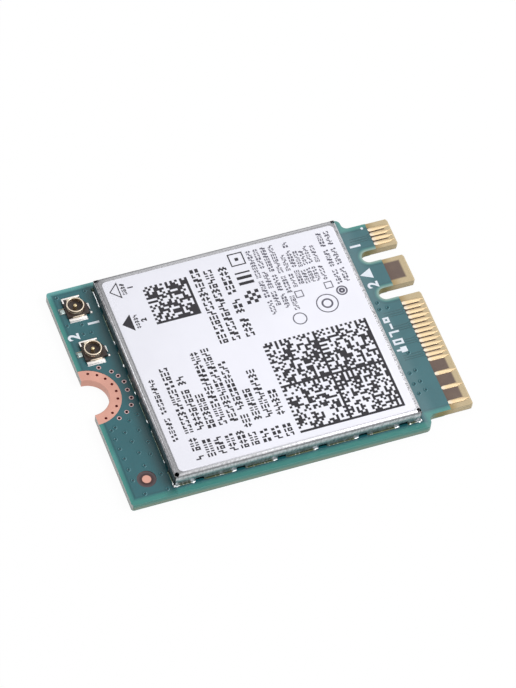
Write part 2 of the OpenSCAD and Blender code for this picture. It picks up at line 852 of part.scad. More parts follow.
// Gap between two feet, through one wall, with rounded upper corners
module foot_gap2() {
    w = foot_gap_w / 2;
    box2(-w, -past, w, foot_gap_h - foot_gap_r);
    box2(-w + foot_gap_r, -past, w - foot_gap_r, foot_gap_h);
    for (s = [-1, 1])
        translate([s * (w - foot_gap_r), foot_gap_h - foot_gap_r]) circle(foot_gap_r);
}

module can_corner_cuts() {
    reach = fold_r + sheet_t;
    for (sx = [-1, 1])
        for (sy = [-1, 1])
            translate([sx * can_l / 2, sy * can_w / 2, 0]) {
                translate([-sx * relief_in, -sy * relief_in, can_h - fold_r - relief_r])
                    cylinder(r = relief_r, h = fold_r + relief_r + past);
                rotate(atan2(-sy, -sx))
                    translate([-reach, -slit_w / 2, -past])
                        cube([reach * 2, slit_w, can_h + past - fold_r]);
            }
}

module shield_can() color([0.74, 0.74, 0.76]) {
    translate([(can_x0 + can_x1) / 2, 0, board_t]) difference() {
        can_block(can_l, can_w, can_h, fold_r);
        translate([0, 0, -past])
            can_block(can_l - 2 * sheet_t, can_w - 2 * sheet_t, can_room_h + past, fold_r - sheet_t);
        can_corner_cuts();
        for (x = side_gaps)
            translate([x - (can_x0 + can_x1) / 2, can_w / 2 + past, 0])
                rotate([90, 0, 0]) linear_extrude(can_w + 2 * past) foot_gap2();
        for (y = end_gaps)
            translate([-can_l / 2 - past, y, 0])
                rotate([90, 0, 90]) linear_extrude(can_l + 2 * past) foot_gap2();
    }
}

// Hollow-faced solder fillet, drawn up the wall on the positive side of the origin
module fillet2(r) {
    difference() {
        square(r);
        translate([r, r]) circle(r);
    }
}

// Fillets run along each foot, outside and inside, and turn round the can's corners
module shield_solder() color([0.86, 0.86, 0.88]) {
    for (f = side_feet)
        for (s = [-1, 1]) {
            wall_fillet(f[0], f[1] - f[0], s * can_y1, s);
            wall_fillet(max(f[0], can_x0 + sheet_t + fillet_r),
                        min(f[1], can_x1 - sheet_t - fillet_r) - max(f[0], can_x0 + sheet_t + fillet_r),
                        s * (can_y1 - sheet_t), -s);
        }
    for (f = end_feet)
        for (s = [-1, 1]) {
            end_fillet(f[0], f[1] - f[0], s > 0 ? can_x1 : can_x0, s);
            end_fillet(max(f[0], can_y0 + sheet_t + fillet_r),
                       min(f[1], can_y1 - sheet_t - fillet_r) - max(f[0], can_y0 + sheet_t + fillet_r),
                       s > 0 ? can_x1 - sheet_t : can_x0 + sheet_t, -s);
        }
    for (sx = [0, 1])
        for (sy = [0, 1])
            translate([sx ? can_x1 : can_x0, sy ? can_y1 : can_y0, board_t])
                rotate(sx ? (sy ? 0 : 270) : (sy ? 90 : 180))
                    rotate_extrude(angle = 90) fillet2(fillet_r);
}

// Fillet against a wall that runs along X, on the side that s gives
module wall_fillet(x0, length, y, s) {
    translate([x0, y, board_t])
        mirror([0, s > 0 ? 0 : 1, 0])
            rotate([90, 0, 90]) linear_extrude(length) fillet2(fillet_r);
}

// Fillet against a wall that runs along Y
module end_fillet(y0, length, x, s) {
    translate([x, y0 + length, board_t])
        mirror([s > 0 ? 0 : 1, 0, 0])
            rotate([90, 0, 0]) linear_extrude(length) fillet2(fillet_r);
}

module label() color([0.93, 0.93, 0.96]) {
    slab(label_z, label_z + label_t)
        round_box2(label_x0, label_y0, label_x1, label_y1, label_r);
}

// One row of words that runs along Y from its near end
module word_row2(x, y, height, length) {
    n = max(1, round(length / (word_l + word_gap)));
    step = (length + word_gap) / n;
    for (i = [0 : n - 1])
        box2(x, y + i * step, x + height, y + (i + 1) * step - word_gap);
}

// Square code field: two solid sides and a plain checked filling
module code_field2(size) {
    cell = [(size[0] - 2 * code_border) / code_cells, (size[1] - 2 * code_border) / code_cells];
    box2(0, 0, size[0], code_border);
    box2(size[0] - code_border, 0, size[0], size[1]);
    for (i = [0 : code_cells - 1])
        for (j = [0 : code_cells - 1])
            if ((i + j) % 2 == 0)
                box2(code_border + i * cell[0], code_border + (j + cell_gap) * cell[1],
                     code_border + (i + 1 - cell_gap) * cell[0], code_border + (j + 1) * cell[1]);
}

module label_print() color([0.15, 0.14, 0.18]) {
    slab(print_z, print_z + ink_t) {
        translate([label_x0 + mark_in, label_y1 - open_mark_in]) difference() {
            arrow2(mark_w, mark_l);
            translate([mark_tip_line, 0])
                arrow2(mark_w - mark_tip_line - mark_base_line, mark_l - 2 * mark_side_line);
        }
        translate([label_x0 + mark_in, label_y1 - full_mark_in]) arrow2(mark_w, mark_l);
        for (i = [0 : len(row_length) - 1])
            word_row2(label_x0 + row_in + i * row_step, label_y0 + row_near_in, row_h, row_length[i]);
        for (i = [0 : len(far_row_length) - 1])
            word_row2(label_x0 + far_row_in[i], label_y1 - far_row_end - far_row_length[i],
                      row_h, far_row_length[i]);
        translate([label_x0 + small_code_in[0], label_y1 - small_code_in[1] - small_code[1]])
            code_field2(small_code);
        translate([label_x0 + big_code_in[0], label_y0 + big_code_in[1]]) code_field2(big_code);
    }
}

// Antenna receptacles

// Straps that run through the plastic from under the ring to both sides
module socket_straps() {
    for (s = [-1, 1])
        mirror([0, s > 0 ? 0 : 1, 0])
            translate([-strap_w / 2, strap_y0, strap_z0])
                cube([strap_w, foot_y0 + strip_t - strap_y0, strip_t]);
}

// Ground ring on its two straps, with their feet, the receptacle's middle at the origin
module socket_ring() {
    rotate_extrude() {
        box2(ring_r - ring_wall, ring_z0, ring_r, ring_h - ring_wall / 2);
        translate([ring_r - ring_wall / 2, ring_h - ring_wall / 2]) circle(ring_wall / 2);
    }
    socket_straps();
    for (s = [-1, 1])
        mirror([0, s > 0 ? 0 : 1, 0]) {
            translate([-strap_w / 2, foot_y0, 0]) cube([strap_w, strip_t, ring_z0]);
            translate([-foot_l / 2, foot_y0, 0]) cube([foot_l, foot_reach, strip_t]);
        }
}

// Centre pin with a domed top, and its flat tail towards the screw end
module socket_pin() {
    cylinder(r = pin_r, h = pin_h - pin_r);
    translate([0, 0, pin_h - pin_r]) sphere(pin_r);
    translate([tail_x, -tail_w / 2, 0]) cube([-tail_x, tail_w, strip_t]);
}

// Outline of the plastic base, with the corner that shows which way round it is
module base_outline2() {
    x0 = base_shift - base_l / 2;
    x1 = base_shift + base_l / 2;
    y1 = base_w / 2;
    polygon([[x0, -y1], [x1, -y1], [x1, y1 - base_cut[1]], [x1 - base_cut[0], y1], [x0, y1]]);
}

// Plastic base: a block with the ring, the straps and the pin moulded in
module socket_base() {
    difference() {
        linear_extrude(base_h) base_outline2();
        translate([0, 0, ring_z0]) cylinder(r = ring_r, h = base_h);
        translate([0, 0, bowl_h]) cylinder(r = bowl_r, h = base_h);
        socket_straps();
        translate([0, 0, -over]) cylinder(r = pin_r, h = base_h);
        translate([tail_x, -tail_w / 2, -over]) cube([-tail_x, tail_w, strip_t + over]);
    }
}

module at_socket(i) {
    translate([socket_x, socket_y[i], board_t]) children();
}

module antenna_1_base() color([0.25, 0.17, 0.12]) at_socket(0) socket_base();
module antenna_1_ring() color([0.93, 0.78, 0.5]) at_socket(0) socket_ring();
module antenna_1_pin() color([0.95, 0.8, 0.45]) at_socket(0) socket_pin();
module antenna_2_base() color([0.25, 0.17, 0.12]) at_socket(1) socket_base();
module antenna_2_ring() color([0.93, 0.78, 0.5]) at_socket(1) socket_ring();
module antenna_2_pin() color([0.95, 0.8, 0.45]) at_socket(1) socket_pin();

module antenna_pads() color([0.8, 0.8, 0.82]) {
    slab(lam_z1, board_t) at_sockets() socket_pads2();
}

// Solder at the outer ends of the feet and of the tail, and on the side pad
module antenna_solder() color([0.86, 0.86, 0.88]) {
    r = pad_skirt;
    x1 = base_l / 2 + base_shift;
    for (y = socket_y)
        translate([socket_x, y, board_t]) {
            for (s = [-1, 1])
                mirror([0, s > 0 ? 0 : 1, 0])
                    translate([-foot_l / 2, foot_y1, 0])
                        rotate([90, 0, 90]) linear_extrude(foot_l) fillet2(r);
            translate([tail_x, tail_w / 2, 0]) mirror([1, 0, 0])
                rotate([90, 0, 0]) linear_extrude(tail_w) fillet2(r);
            translate([x1, side_pad[1] / 2, 0])
                rotate([90, 0, 0]) linear_extrude(side_pad[1]) fillet2(side_solder);
        }
}

// Parts under the can

module component_pads() color([0.8, 0.8, 0.82]) {
    slab(lam_z1, board_t) part_pads2();
}

module component_solder() color([0.86, 0.86, 0.88]) {
    slab(board_t, part_z) part_pads2();
}

// Moulded or ceramic body with a pin-one dot sunk into its top
module chip_body(at, size, height, z) {
    translate([at[0], at[1], z]) difference() {
        translate([-size[0] / 2, -size[1] / 2, 0]) cube([size[0], size[1], height]);
        translate([-size[0] / 2 + dot_in, size[1] / 2 - dot_in, height - dot_depth])
            cylinder(r = dot_r, h = past);
    }
}

module radio_chip() color([0.12, 0.12, 0.13]) {
    chip_body(radio_at, [radio_side, radio_side], radio_h, part_z + lead_t);
}

module radio_chip_leads() color([0.8, 0.8, 0.82]) {
    slab(part_z, part_z + lead_t) translate(radio_at) radio_pads2();
}

module front_end_chips() color([0.14, 0.14, 0.15]) {
    for (p = front_end_at)
        chip_body(p, [front_end_side, front_end_side], front_end_h, part_z);
}

module band_filters() color([0.78, 0.76, 0.7]) {
    for (p = filter_at)
        chip_body(p, filter_size, filter_h, part_z);
}

// Crystal: an open ceramic tray closed by a metal lid
module crystal_base() color([0.35, 0.33, 0.3]) {
    w = crystal_size - [2 * crystal_rim, 2 * crystal_rim];
    translate([crystal_at[0], crystal_at[1], part_z]) difference() {
        translate([-crystal_size[0] / 2, -crystal_size[1] / 2, 0])
            cube([crystal_size[0], crystal_size[1], crystal_base_h]);
        translate([-w[0] / 2, -w[1] / 2, crystal_rim]) cube([w[0], w[1], past]);
    }
}

module crystal_lid() color([0.82, 0.8, 0.72]) {
    slab(part_z + crystal_base_h, part_z + crystal_base_h + crystal_lid_h) translate(crystal_at)
        round_box2(-crystal_size[0] / 2 + lid_in, -crystal_size[1] / 2 + lid_in,
                   crystal_size[0] / 2 - lid_in, crystal_size[1] / 2 - lid_in, lid_r);
}

module memory_chip() color([0.13, 0.13, 0.14]) {
    chip_body(memory_at, memory_size, memory_h, part_z);
}

module regulator_chip() color([0.13, 0.13, 0.14]) {
    chip_body(regulator_at, [regulator_side, regulator_side], regulator_h, part_z);
}

// Middle of a two-ended part, between its metal ends
module mid_block(length, width, height, end_l) {
    translate([-length / 2 + end_l, -width / 2, 0]) cube([length - 2 * end_l, width, height]);
}

// The two metal ends of such a part
module end_blocks(length, width, height, end_l) {
    for (s = [-1, 1])
        translate([s * (length - end_l) / 2 - end_l / 2, -width / 2, 0]) cube([end_l, width, height]);
}

module power_inductors() color([0.3, 0.3, 0.32]) {
    for (p = inductor_at)
        translate([p[0], p[1], part_z])
            mid_block(inductor_size[0], inductor_size[1], inductor_h, inductor_end_l);
}

module inductor_ends() color([0.8, 0.8, 0.82]) {
    for (p = inductor_at)
        translate([p[0], p[1], part_z])
            end_blocks(inductor_size[0], inductor_size[1], inductor_h, inductor_end_l);
}

module capacitors() color([0.66, 0.5, 0.36]) {
    translate([0, 0, part_z]) for (p = capacitor_at)
        turned(p) mid_block(chip_l, chip_w, chip_h, chip_end_l);
}

module capacitor_ends() color([0.8, 0.8, 0.82]) {
    translate([0, 0, part_z]) for (p = capacitor_at)
        turned(p) end_blocks(chip_l, chip_w, chip_h, chip_end_l);
}

module resistors() color([0.1, 0.1, 0.11]) {
    translate([0, 0, part_z]) for (p = resistor_at)
        turned(p) mid_block(chip_l, chip_w, resistor_h, chip_end_l);
}

module resistor_ends() color([0.8, 0.8, 0.82]) {
    translate([0, 0, part_z]) for (p = resistor_at)
        turned(p) end_blocks(chip_l, chip_w, resistor_h, chip_end_l);
}

board_core();
inner_copper();
copper_pour_top();
copper_pour_bottom();
solder_mask_top();
solder_mask_bottom();
contact_fingers_top();
contact_fingers_bottom();
screw_land();
notch_vias();
fiducials();
test_pads();
board_legend();
shield_lands();
shield_can();
shield_solder();
label();
label_print();
antenna_1_base();
antenna_1_ring();
antenna_1_pin();
antenna_2_base();
antenna_2_ring();
antenna_2_pin();
antenna_pads();
antenna_solder();
component_pads();
component_solder();
radio_chip();
radio_chip_leads();
front_end_chips();
band_filters();
crystal_base();
crystal_lid();
memory_chip();
regulator_chip();
power_inductors();
inductor_ends();
capacitors();
capacitor_ends();
resistors();
resistor_ends();
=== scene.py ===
"""The looks of a small plug-in wireless card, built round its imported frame.

Each operator makes or finishes one piece or one group of like pieces, and main() calls them in
order. Places and sizes are in millimetres in the card's own frame: +X towards the contact tongue, +Z
up from the underside. The panel's lengths, the lamps and Blender's own calls are in metres.
"""

import json
import math
import random
from contextlib import contextmanager
from functools import reduce

import bmesh
import bpy
from mathutils import Matrix, Vector


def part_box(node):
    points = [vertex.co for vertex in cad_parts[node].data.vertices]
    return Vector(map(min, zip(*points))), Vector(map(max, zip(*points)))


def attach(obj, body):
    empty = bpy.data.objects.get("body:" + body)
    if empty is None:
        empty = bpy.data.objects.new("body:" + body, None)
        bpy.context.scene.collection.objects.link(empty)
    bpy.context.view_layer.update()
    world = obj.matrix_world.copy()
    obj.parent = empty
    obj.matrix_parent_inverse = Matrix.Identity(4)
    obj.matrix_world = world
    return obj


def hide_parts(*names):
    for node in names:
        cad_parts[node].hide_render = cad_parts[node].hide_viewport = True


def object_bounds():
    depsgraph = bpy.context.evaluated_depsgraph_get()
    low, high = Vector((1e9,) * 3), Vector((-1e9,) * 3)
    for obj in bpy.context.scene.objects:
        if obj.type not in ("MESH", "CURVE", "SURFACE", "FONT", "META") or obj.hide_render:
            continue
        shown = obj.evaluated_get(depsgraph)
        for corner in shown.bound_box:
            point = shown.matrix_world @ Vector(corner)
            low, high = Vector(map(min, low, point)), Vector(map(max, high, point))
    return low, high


bl_info = {
    "name": "Wireless Card",
    "version": (1, 0, 0),
    "blender": (4, 5, 0),
    "location": "3D View > Sidebar > Card",
    "description": "Finishes, print, solder and stage of a plug-in wireless card",
    "category": "Mesh",
}

MM = 0.001
BODY = "root"
TIDY_GAP = 0.000001

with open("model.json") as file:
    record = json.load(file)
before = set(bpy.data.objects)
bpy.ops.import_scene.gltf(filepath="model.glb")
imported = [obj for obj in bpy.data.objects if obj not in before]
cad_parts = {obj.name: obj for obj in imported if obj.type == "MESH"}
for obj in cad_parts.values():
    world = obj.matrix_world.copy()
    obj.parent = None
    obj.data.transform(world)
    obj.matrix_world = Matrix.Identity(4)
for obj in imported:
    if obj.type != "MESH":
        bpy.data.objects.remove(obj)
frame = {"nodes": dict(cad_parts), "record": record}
cad_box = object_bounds()
cad = frame["nodes"]

BOARD_LOW, BOARD_HIGH = (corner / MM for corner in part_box("board_core"))
CAN_LOW, CAN_HIGH = (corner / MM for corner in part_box("shield_can"))
BOARD_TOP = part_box("solder_mask_top")[1].z / MM
LABEL_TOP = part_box("label")[1].z / MM

# Bare margins beside the ground copper: along the board, round the key slots, and how much more there
# is along the near side
POUR_MARGIN = 0.42
KEY_MARGIN = 0.34
NEAR_EXTRA = 0.16
# Tongue, key slots and contact fingers
SHOULDER_X = 11.0
TONGUE_HALF = 9.925
KEY_PLACES = (6.625, 2.625)
KEY_HALF = 0.6
KEY_DEPTH = 3.5
FINGER_PITCH = 0.5
TOP_FINGER_0 = 9.25
# Near end of the painted shade lines between the fingers, the middle of the tab without them, and the
# spans of the buried copper across the tongue
LAST_GAP_Y = -4.0
TAB_Y = 4.69
BURIED_SPANS = ((7.57, 9.43), (3.78, 5.6), (-9.43, 1.43))
# Buried signal pairs: spacing, length and the middles of those on each face
PAIR_PITCH = 0.26
TRACE_L = 1.9
TOP_PAIRS = [TOP_FINGER_0 - FINGER_PITCH * (slot + 0.5) for slot in (1, 17, 20, 23, 26)]
UNDER_PAIRS = (8.75, 5.25, 4.25, 1.25, -0.25, -1.75, -3.25, -4.75, -6.25, -7.75)
# Screw end
SCREW_NOTCH_R = 1.75
FIDUCIAL_INSET = (1.95, 2.1)
SOCKET_X = -13.15
SOCKET_YS = (8.85, 4.3)
# Gaps between the can's feet, by their middles
FOOT_PITCH = 3.53
FOOT_GAP = 0.75
FIRST_GAP = -9.0
SIDE_GAPS = [FIRST_GAP + FOOT_PITCH * i for i in range(6)]
END_GAPS = (-8.3, -4.2, -1.25, 1.6, 4.05, 7.95)
# Height of a digit as a share of its type size
DIGIT_SHARE = 0.72
# Marks of a plain filler script, five rows of three cells: bars, steps and blocks
FILLER = (
    "### ... ### ... ###",
    "#.# #.# ... #.# #.#",
    "#.. #.. ### ..# ..#",
    "..# ..# ### #.. #..",
    ".#. ### ... ### .#.",
    "### ### ... ### ###",
    "##. ##. ... .## .##",
    "### #.. ... ..# ###",
    ".## .## ### ##. ##.",
    "### ... ### #.# ###",
    "##. .## ##. .## ##.",
)


def srgb(*screen):
    """A colour given as 0 to 255 screen values, as linear numbers."""
    shares = [value / 255 for value in screen]
    return tuple(v / 12.92 if v <= 0.04045 else ((v + 0.055) / 1.055) ** 2.4 for v in shares)


def toned(colour, share):
    """A colour made darker, or brighter where share is over 1."""
    return [min(1, c * share) for c in colour]


def colour_property(name, description, *screen):
    return bpy.props.FloatVectorProperty(
        name=name, description=description, subtype="COLOR", size=3, min=0, max=1, default=srgb(*screen)
    )


def length_property(name, description, millimetres):
    return bpy.props.FloatProperty(
        name=name, description=description, unit="LENGTH", default=millimetres * MM, min=0, precision=6
    )


def angle_property(name, description, degrees):
    return bpy.props.FloatProperty(
        name=name, description=description, subtype="ANGLE", default=math.radians(degrees)
    )


def amount_property(name, description, value):
    return bpy.props.FloatProperty(name=name, description=description, default=value, min=0)


class CardColours(bpy.types.PropertyGroup):
    """Colours of the card's finishes."""

    mask: colour_property("Mask over copper", "Solder mask where copper lies under it", 22, 90, 98)
    mask_edge: colour_property("Mask over laminate", "Solder mask along the bare margins", 47, 131, 122)
    laminate: colour_property("Laminate", "Bare glass-epoxy laminate", 184, 166, 132)
    laminate_side: colour_property("Board edge", "Routed edges of the laminate", 124, 142, 126)
    # Painted highlight: the routed edge that faces -X gets this lighter colour
    lit_end_side: colour_property("Board end", "Routed edge at the screw end", 190, 194, 192)
    tongue_side: colour_property("Tongue edge", "Routed edges of the bare tongue", 186, 170, 134)
    buried: colour_property("Buried copper", "Inner copper seen through bare laminate", 94, 76, 72)
    # Painted shade in the narrow gaps between the contact fingers
    finger_gap_shade: colour_property("Finger gaps", "Narrow gaps between the contact fingers", 62, 42, 34)
    copper: colour_property("Bare copper", "Copper of the screw land", 229, 174, 158)
    drill_ring: colour_property("Drill rings", "Copper rings of the loose drill holes", 222, 190, 190)
    gold: colour_property("Gold", "Gold plating of the contacts", 254, 226, 182)
    socket_gold: colour_property("Receptacle plating", "Pale gold of the receptacles", 250, 234, 212)
    can: colour_property("Can", "Tin-plated sheet of the shield can", 228, 228, 232)
    solder: colour_property("Solder", "Reflowed solder", 226, 228, 230)
    label: colour_property("Label", "Face of the label", 236, 236, 245)
    ink: colour_property("Ink", "Dark print on the label", 38, 35, 43)
    fine_ink: colour_property("Fine ink", "Thin print on the label", 96, 94, 108)
    legend: colour_property("Legend", "White marks on the board", 226, 232, 240)
    moulding: colour_property("Receptacle base", "Plastic of the antenna receptacles", 50, 37, 33)


class CardSizes(bpy.types.PropertyGroup):
    """Small sizes of the pieces that are modelled here."""

    ink: length_property("Ink height", "Thickness of the print", 0.012)
    plating_edge: length_property("Finger edge", "Radius of the edges of the contact fingers", 0.012)
    sheet_edge: length_property("Can edge", "Radius of the small edges of the can's sheet", 0.02)
    label_edge: length_property("Label edge", "Radius of the label's cut edge", 0.015)
    chip_edge: length_property("Chip edge", "Radius of the edges of moulded parts", 0.03)
    strap_edge: length_property("Strap edge", "Radius of the edges of straps and feet", 0.02)
    dimple: length_property("Dimple", "Outer radius of a mask-covered drill hole", 0.2)
    lump: length_property("Solder unevenness", "How far the solder's skin wanders", 0.008)


class CardStage(bpy.types.PropertyGroup):
    """Camera and light."""

    azimuth: angle_property("Azimuth", "Direction of the camera round the card", -25.4052)
    elevation: angle_property("Elevation", "Height of the camera over the horizon", 54.3526)
    roll: angle_property("Roll", "Tilt of the camera about its own line of sight", 6.5378)
    distance: length_property("Distance", "Distance from the camera to its target", 339.5223)
    lens: amount_property("Lens", "Focal length in millimetres on a 36 mm sensor", 215.41)
    sky: amount_property("Sky", "Strength of the even light", 0.63)
    slope: amount_property("Slope", "How much stronger the even light is on its bright side", 0.6)
    key: amount_property("Key", "Power of the main lamp, in watts", 1.75)
    top: amount_property("Top", "Power of the broad top lamp, in watts", 0.3)
    edge: amount_property("Edge", "Power of the edge lamp, in watts", 0.28)


# Shader graphs


class Num:
    """A socket that holds a number, with Python's arithmetic."""

    def __init__(self, graph, socket):
        self.graph = graph
        self.socket = socket

    def run(self, operation, *others):
        return self.graph.maths(operation, self, *others)

    def __add__(self, other):
        return self.run("ADD", other)

    def __sub__(self, other):
        return self.run("SUBTRACT", other)

    def __rsub__(self, other):
        return self.graph.maths("SUBTRACT", other, self)

    def __mul__(self, other):
        return self.run("MULTIPLY", other)

    def __mod__(self, other):
        return self.run("FLOORED_MODULO", other)

    def __neg__(self):
        return self * -1

    def __abs__(self):
        return self.run("ABSOLUTE")

    __radd__ = __add__
    __rmul__ = __mul__

    def least(self, other):
        return self.run("MINIMUM", other)

    def most(self, other):
        return self.run("MAXIMUM", other)

    def step(self, low, high, floor=0.0):
        """The floor below low, 1 above high, smooth between them."""
        node = self.graph.node(
            "ShaderNodeMapRange",
            {"interpolation_type": "SMOOTHSTEP"},
            {"Value": self, "From Min": low, "From Max": high, "To Min": floor},
        )
        return Num(self.graph, node.outputs["Result"])

    def drop(self, low, high):
        """1 below low, 0 above high, smooth between them."""
        return 1 - self.step(low, high)

    def band(self, rise, full, fall, end):
        """1 from full to fall, 0 before rise and after end."""
        return self.step(rise, full) * self.drop(fall, end)


class Graph:
    """A tree of nodes."""

    def __init__(self, tree):
        self.tree = tree

    def node(self, kind, settings=None, inputs=None):
        made = self.tree.nodes.new(kind)
        for key, value in (settings or {}).items():
            setattr(made, key, value)
        for key, value in (inputs or {}).items():
            self.feed(made.inputs[key], value)
        return made

    def feed(self, socket, value):
        if isinstance(value, Num):
            value = value.socket
        if isinstance(value, bpy.types.NodeSocket):
            self.tree.links.new(value, socket)
        elif socket.type == "RGBA" and len(value) == 3:
            socket.default_value = (*value, 1)
        else:
            socket.default_value = value

    def maths(self, operation, *values):
        made = self.node("ShaderNodeMath", {"operation": operation}, dict(enumerate(values)))
        return Num(self, made.outputs[0])

    def dot(self, first, second):
        """How far one vector reaches along another."""
        made = self.node("ShaderNodeVectorMath", {"operation": "DOT_PRODUCT"}, {0: first, 1: second})
        return Num(self, made.outputs["Value"])

    def split(self, vector):
        """A vector's three numbers."""
        made = self.node("ShaderNodeSeparateXYZ", {}, {"Vector": vector})
        return [Num(self, made.outputs[axis]) for axis in "XYZ"]


class Finish(Graph):
    """One material and its nodes. Places are read in millimetres."""

    def __init__(self, name):
        self.material = bpy.data.materials.new(name)
        self.material.use_nodes = True
        super().__init__(self.material.node_tree)
        self.tree.nodes.clear()
        self.spot = self.node("ShaderNodeTexCoord").outputs["Object"]
        self.x, self.y, self.z = (metres * (1 / MM) for metres in self.split(self.spot))

    def blend(self, factor, first, second):
        """A colour between first, at 0, and second, at 1."""
        made = self.node("ShaderNodeMix", {"data_type": "RGBA"}, {0: factor, 6: first, 7: second})
        return made.outputs[2]

    def facing(self):
        """The surface's direction as three numbers."""
        return self.split(self.node("ShaderNodeNewGeometry").outputs["Normal"])

    def wave(self, along, length):
        """A sine between -1 and 1 that repeats after that many millimetres."""
        return (along * (math.tau / length)).run("SINE")

    def noise(self, size, detail, roughness=0.55, stretch=(1, 1, 1)):
        """Cloud noise with lumps of about size millimetres, drawn out by stretch."""
        scale = [1 / (size * MM * s) for s in stretch]
        mapped = self.node("ShaderNodeMapping", {}, {"Vector": self.spot, "Scale": scale})
        values = {"Vector": mapped.outputs[0], "Scale": 1.0, "Detail": detail, "Roughness": roughness}
        return Num(self, self.node("ShaderNodeTexNoise", {}, values).outputs[0])

    def bump(self, height, depth, strength=1.0, after=None):
        """A normal from a height of 0 to 1 that is depth millimetres deep."""
        inputs = {"Height": height, "Distance": depth * MM, "Strength": strength}
        if after is not None:
            inputs["Normal"] = after
        return self.node("ShaderNodeBump", {}, inputs).outputs[0]

    def done(self, shader):
        """The material, with that shader on its surface."""
        self.node("ShaderNodeOutputMaterial", {}, {"Surface": shader.outputs[0]})
        return self.material

    def surface(self, **inputs):
        """The material, with a principled surface, by its sockets' names with _ for spaces."""
        named = {key.replace("_", " "): value for key, value in inputs.items()}
        return self.done(self.node("ShaderNodeBsdfPrincipled", {}, named))

    def grained(self, base, grain, rough, change, depth, strength, metal=0.0):
        """The material, with a surface whose roughness and fine relief follow a grain."""
        return self.surface(
            Base_Color=base, Metallic=metal, Roughness=grain * change + rough,
            Normal=self.bump(grain, depth, strength),
        )


# Distances on the board, in millimetres


def diagonal(across, along):
    """Length of the diagonal over two distances."""
    return (across * across + along * along).run("SQRT")


def rectangle(g, x0, x1, y0, y1):
    """Distance inside a rectangle, negative outside."""
    return (g.x - x0).least(x1 - g.x).least((g.y - y0).least(y1 - g.y))


def key_distance(g):
    """Distance from the rounded edge of the nearest key slot."""
    inward = (BOARD_HIGH.x - KEY_DEPTH + KEY_HALF - g.x).most(0)
    return reduce(Num.least, [diagonal(inward, g.y - place) - KEY_HALF for place in KEY_PLACES])


def copper_inside(g, tongue_end):
    """Distance inside the ground copper, negative over the bare margins."""
    x0 = BOARD_LOW.x + POUR_MARGIN
    half = BOARD_HIGH.y - POUR_MARGIN
    tongue = TONGUE_HALF - POUR_MARGIN
    wide = rectangle(g, x0, SHOULDER_X - POUR_MARGIN, NEAR_EXTRA - half, half)
    narrow = rectangle(g, x0, tongue_end + POUR_MARGIN, -tongue, tongue)
    return wide.most(narrow).least(key_distance(g) - KEY_MARGIN)


def can_offsets(g):
    """Distances outside the can's walls along X and along Y, negative under the can."""
    middle, half = (CAN_LOW + CAN_HIGH) / 2, (CAN_HIGH - CAN_LOW) / 2
    return abs(g.x - middle.x) - half.x, abs(g.y - middle.y) - half.y


def fiducial_distance(g):
    """Distance from the middle of the nearest fiducial dot."""
    inset_x, inset_y = FIDUCIAL_INSET
    return diagonal(g.x - (BOARD_LOW.x + inset_x), abs(g.y) - (BOARD_HIGH.y - inset_y))


def trace_gaps(g, pairs, end):
    """1 in the narrow gaps beside the buried traces of each signal pair, up to the end of the mask."""
    spread = (g.x - (end - 0.28)).step(0, 0.13)
    run = PAIR_PITCH / 2 + spread * ((FINGER_PITCH - PAIR_PITCH) / 2)
    gaps = [abs(abs(abs(g.y - middle) - run) - 0.1).drop(0.025, 0.06) for middle in pairs]
    return reduce(Num.most, gaps) * (g.x - (end - TRACE_L)).step(-0.05, 0.05)


# Finishes


def mask_finish(g, colours, tongue_end, pairs, upper):
    """Glossy solder mask: dark over copper, lighter over bare laminate, ridged along the traces."""
    inside = copper_inside(g, tongue_end)
    copper = inside.step(-0.34, 0.1)
    ledge = inside.band(-0.06, 0.04, 0.06, 0.2)
    gap = trace_gaps(g, pairs, tongue_end)
    mottle = g.noise(2.4, 4)
    base = g.blend(mottle.step(0.35, 0.7), colours.mask, toned(colours.mask, 1.12))
    base = g.blend(copper, colours.mask_edge, base)
    base = g.blend((ledge * 0.3).most(gap * 0.45), base, toned(colours.mask, 0.45))
    far_margin = g.y.step(10.2, 10.7) * g.x.drop(-11.5, -10.0)
    pale = (far_margin + mottle.step(0.45, 0.75) * 0.4).least(1)
    base = g.blend((1 - copper) * pale * 0.5, base, srgb(112, 174, 178))
    # Painted shade: the mask is darkened a little along the near edge
    base = g.blend(g.y.drop(-10.9, -10.4) * 0.1, base, toned(colours.mask, 0.3))
    base = g.blend(key_distance(g).drop(0, 0.3) * 0.8, base, srgb(146, 168, 156))
    if upper:
        outside = reduce(Num.most, can_offsets(g))
        # Painted shadow of the can on the mask beside its left wall
        beside = outside.drop(0, 1.25) * g.x.drop(-11.2, -10.9)
        base = g.blend(beside * 0.52, base, toned(colours.mask, 0.3))
        # Painted glow: pale bluish light on the mask just right of the can's right wall
        right_wall_glow = g.x.step(10.3, 10.6) * (0.16 - g.x.step(10.9, 12.0) * 0.09)
        base = g.blend(right_wall_glow, base, srgb(170, 190, 195))
        # Painted shade: the mask under the can, seen between its feet, is nearly black
        base = g.blend(outside.drop(-0.16, -0.02), base, toned(colours.mask, 0.12))
    grain = g.noise(0.12, 2)
    normal = g.bump(grain, 0.004, 0.5, g.bump(inside.step(-0.09, 0.09) - gap, 0.03, 0.8))
    return g.surface(
        Base_Color=base, Roughness=grain.step(0, 1) * 0.1 + 0.3, Normal=normal,
        Coat_Weight=0.25, Coat_Roughness=0.15,
    )


def crater_finish(g, colours):
    """Mask over the lip of a drill hole, paler on the side that faces the light."""
    facing_x, facing_y, _ = g.facing()
    lit = (facing_x * 0.9 - facing_y * 0.5).step(0.05, 0.4)
    base = g.blend(lit * 0.75, colours.mask, srgb(112, 152, 160))
    return g.surface(Base_Color=base, Roughness=0.32, Coat_Weight=0.25, Coat_Roughness=0.15)


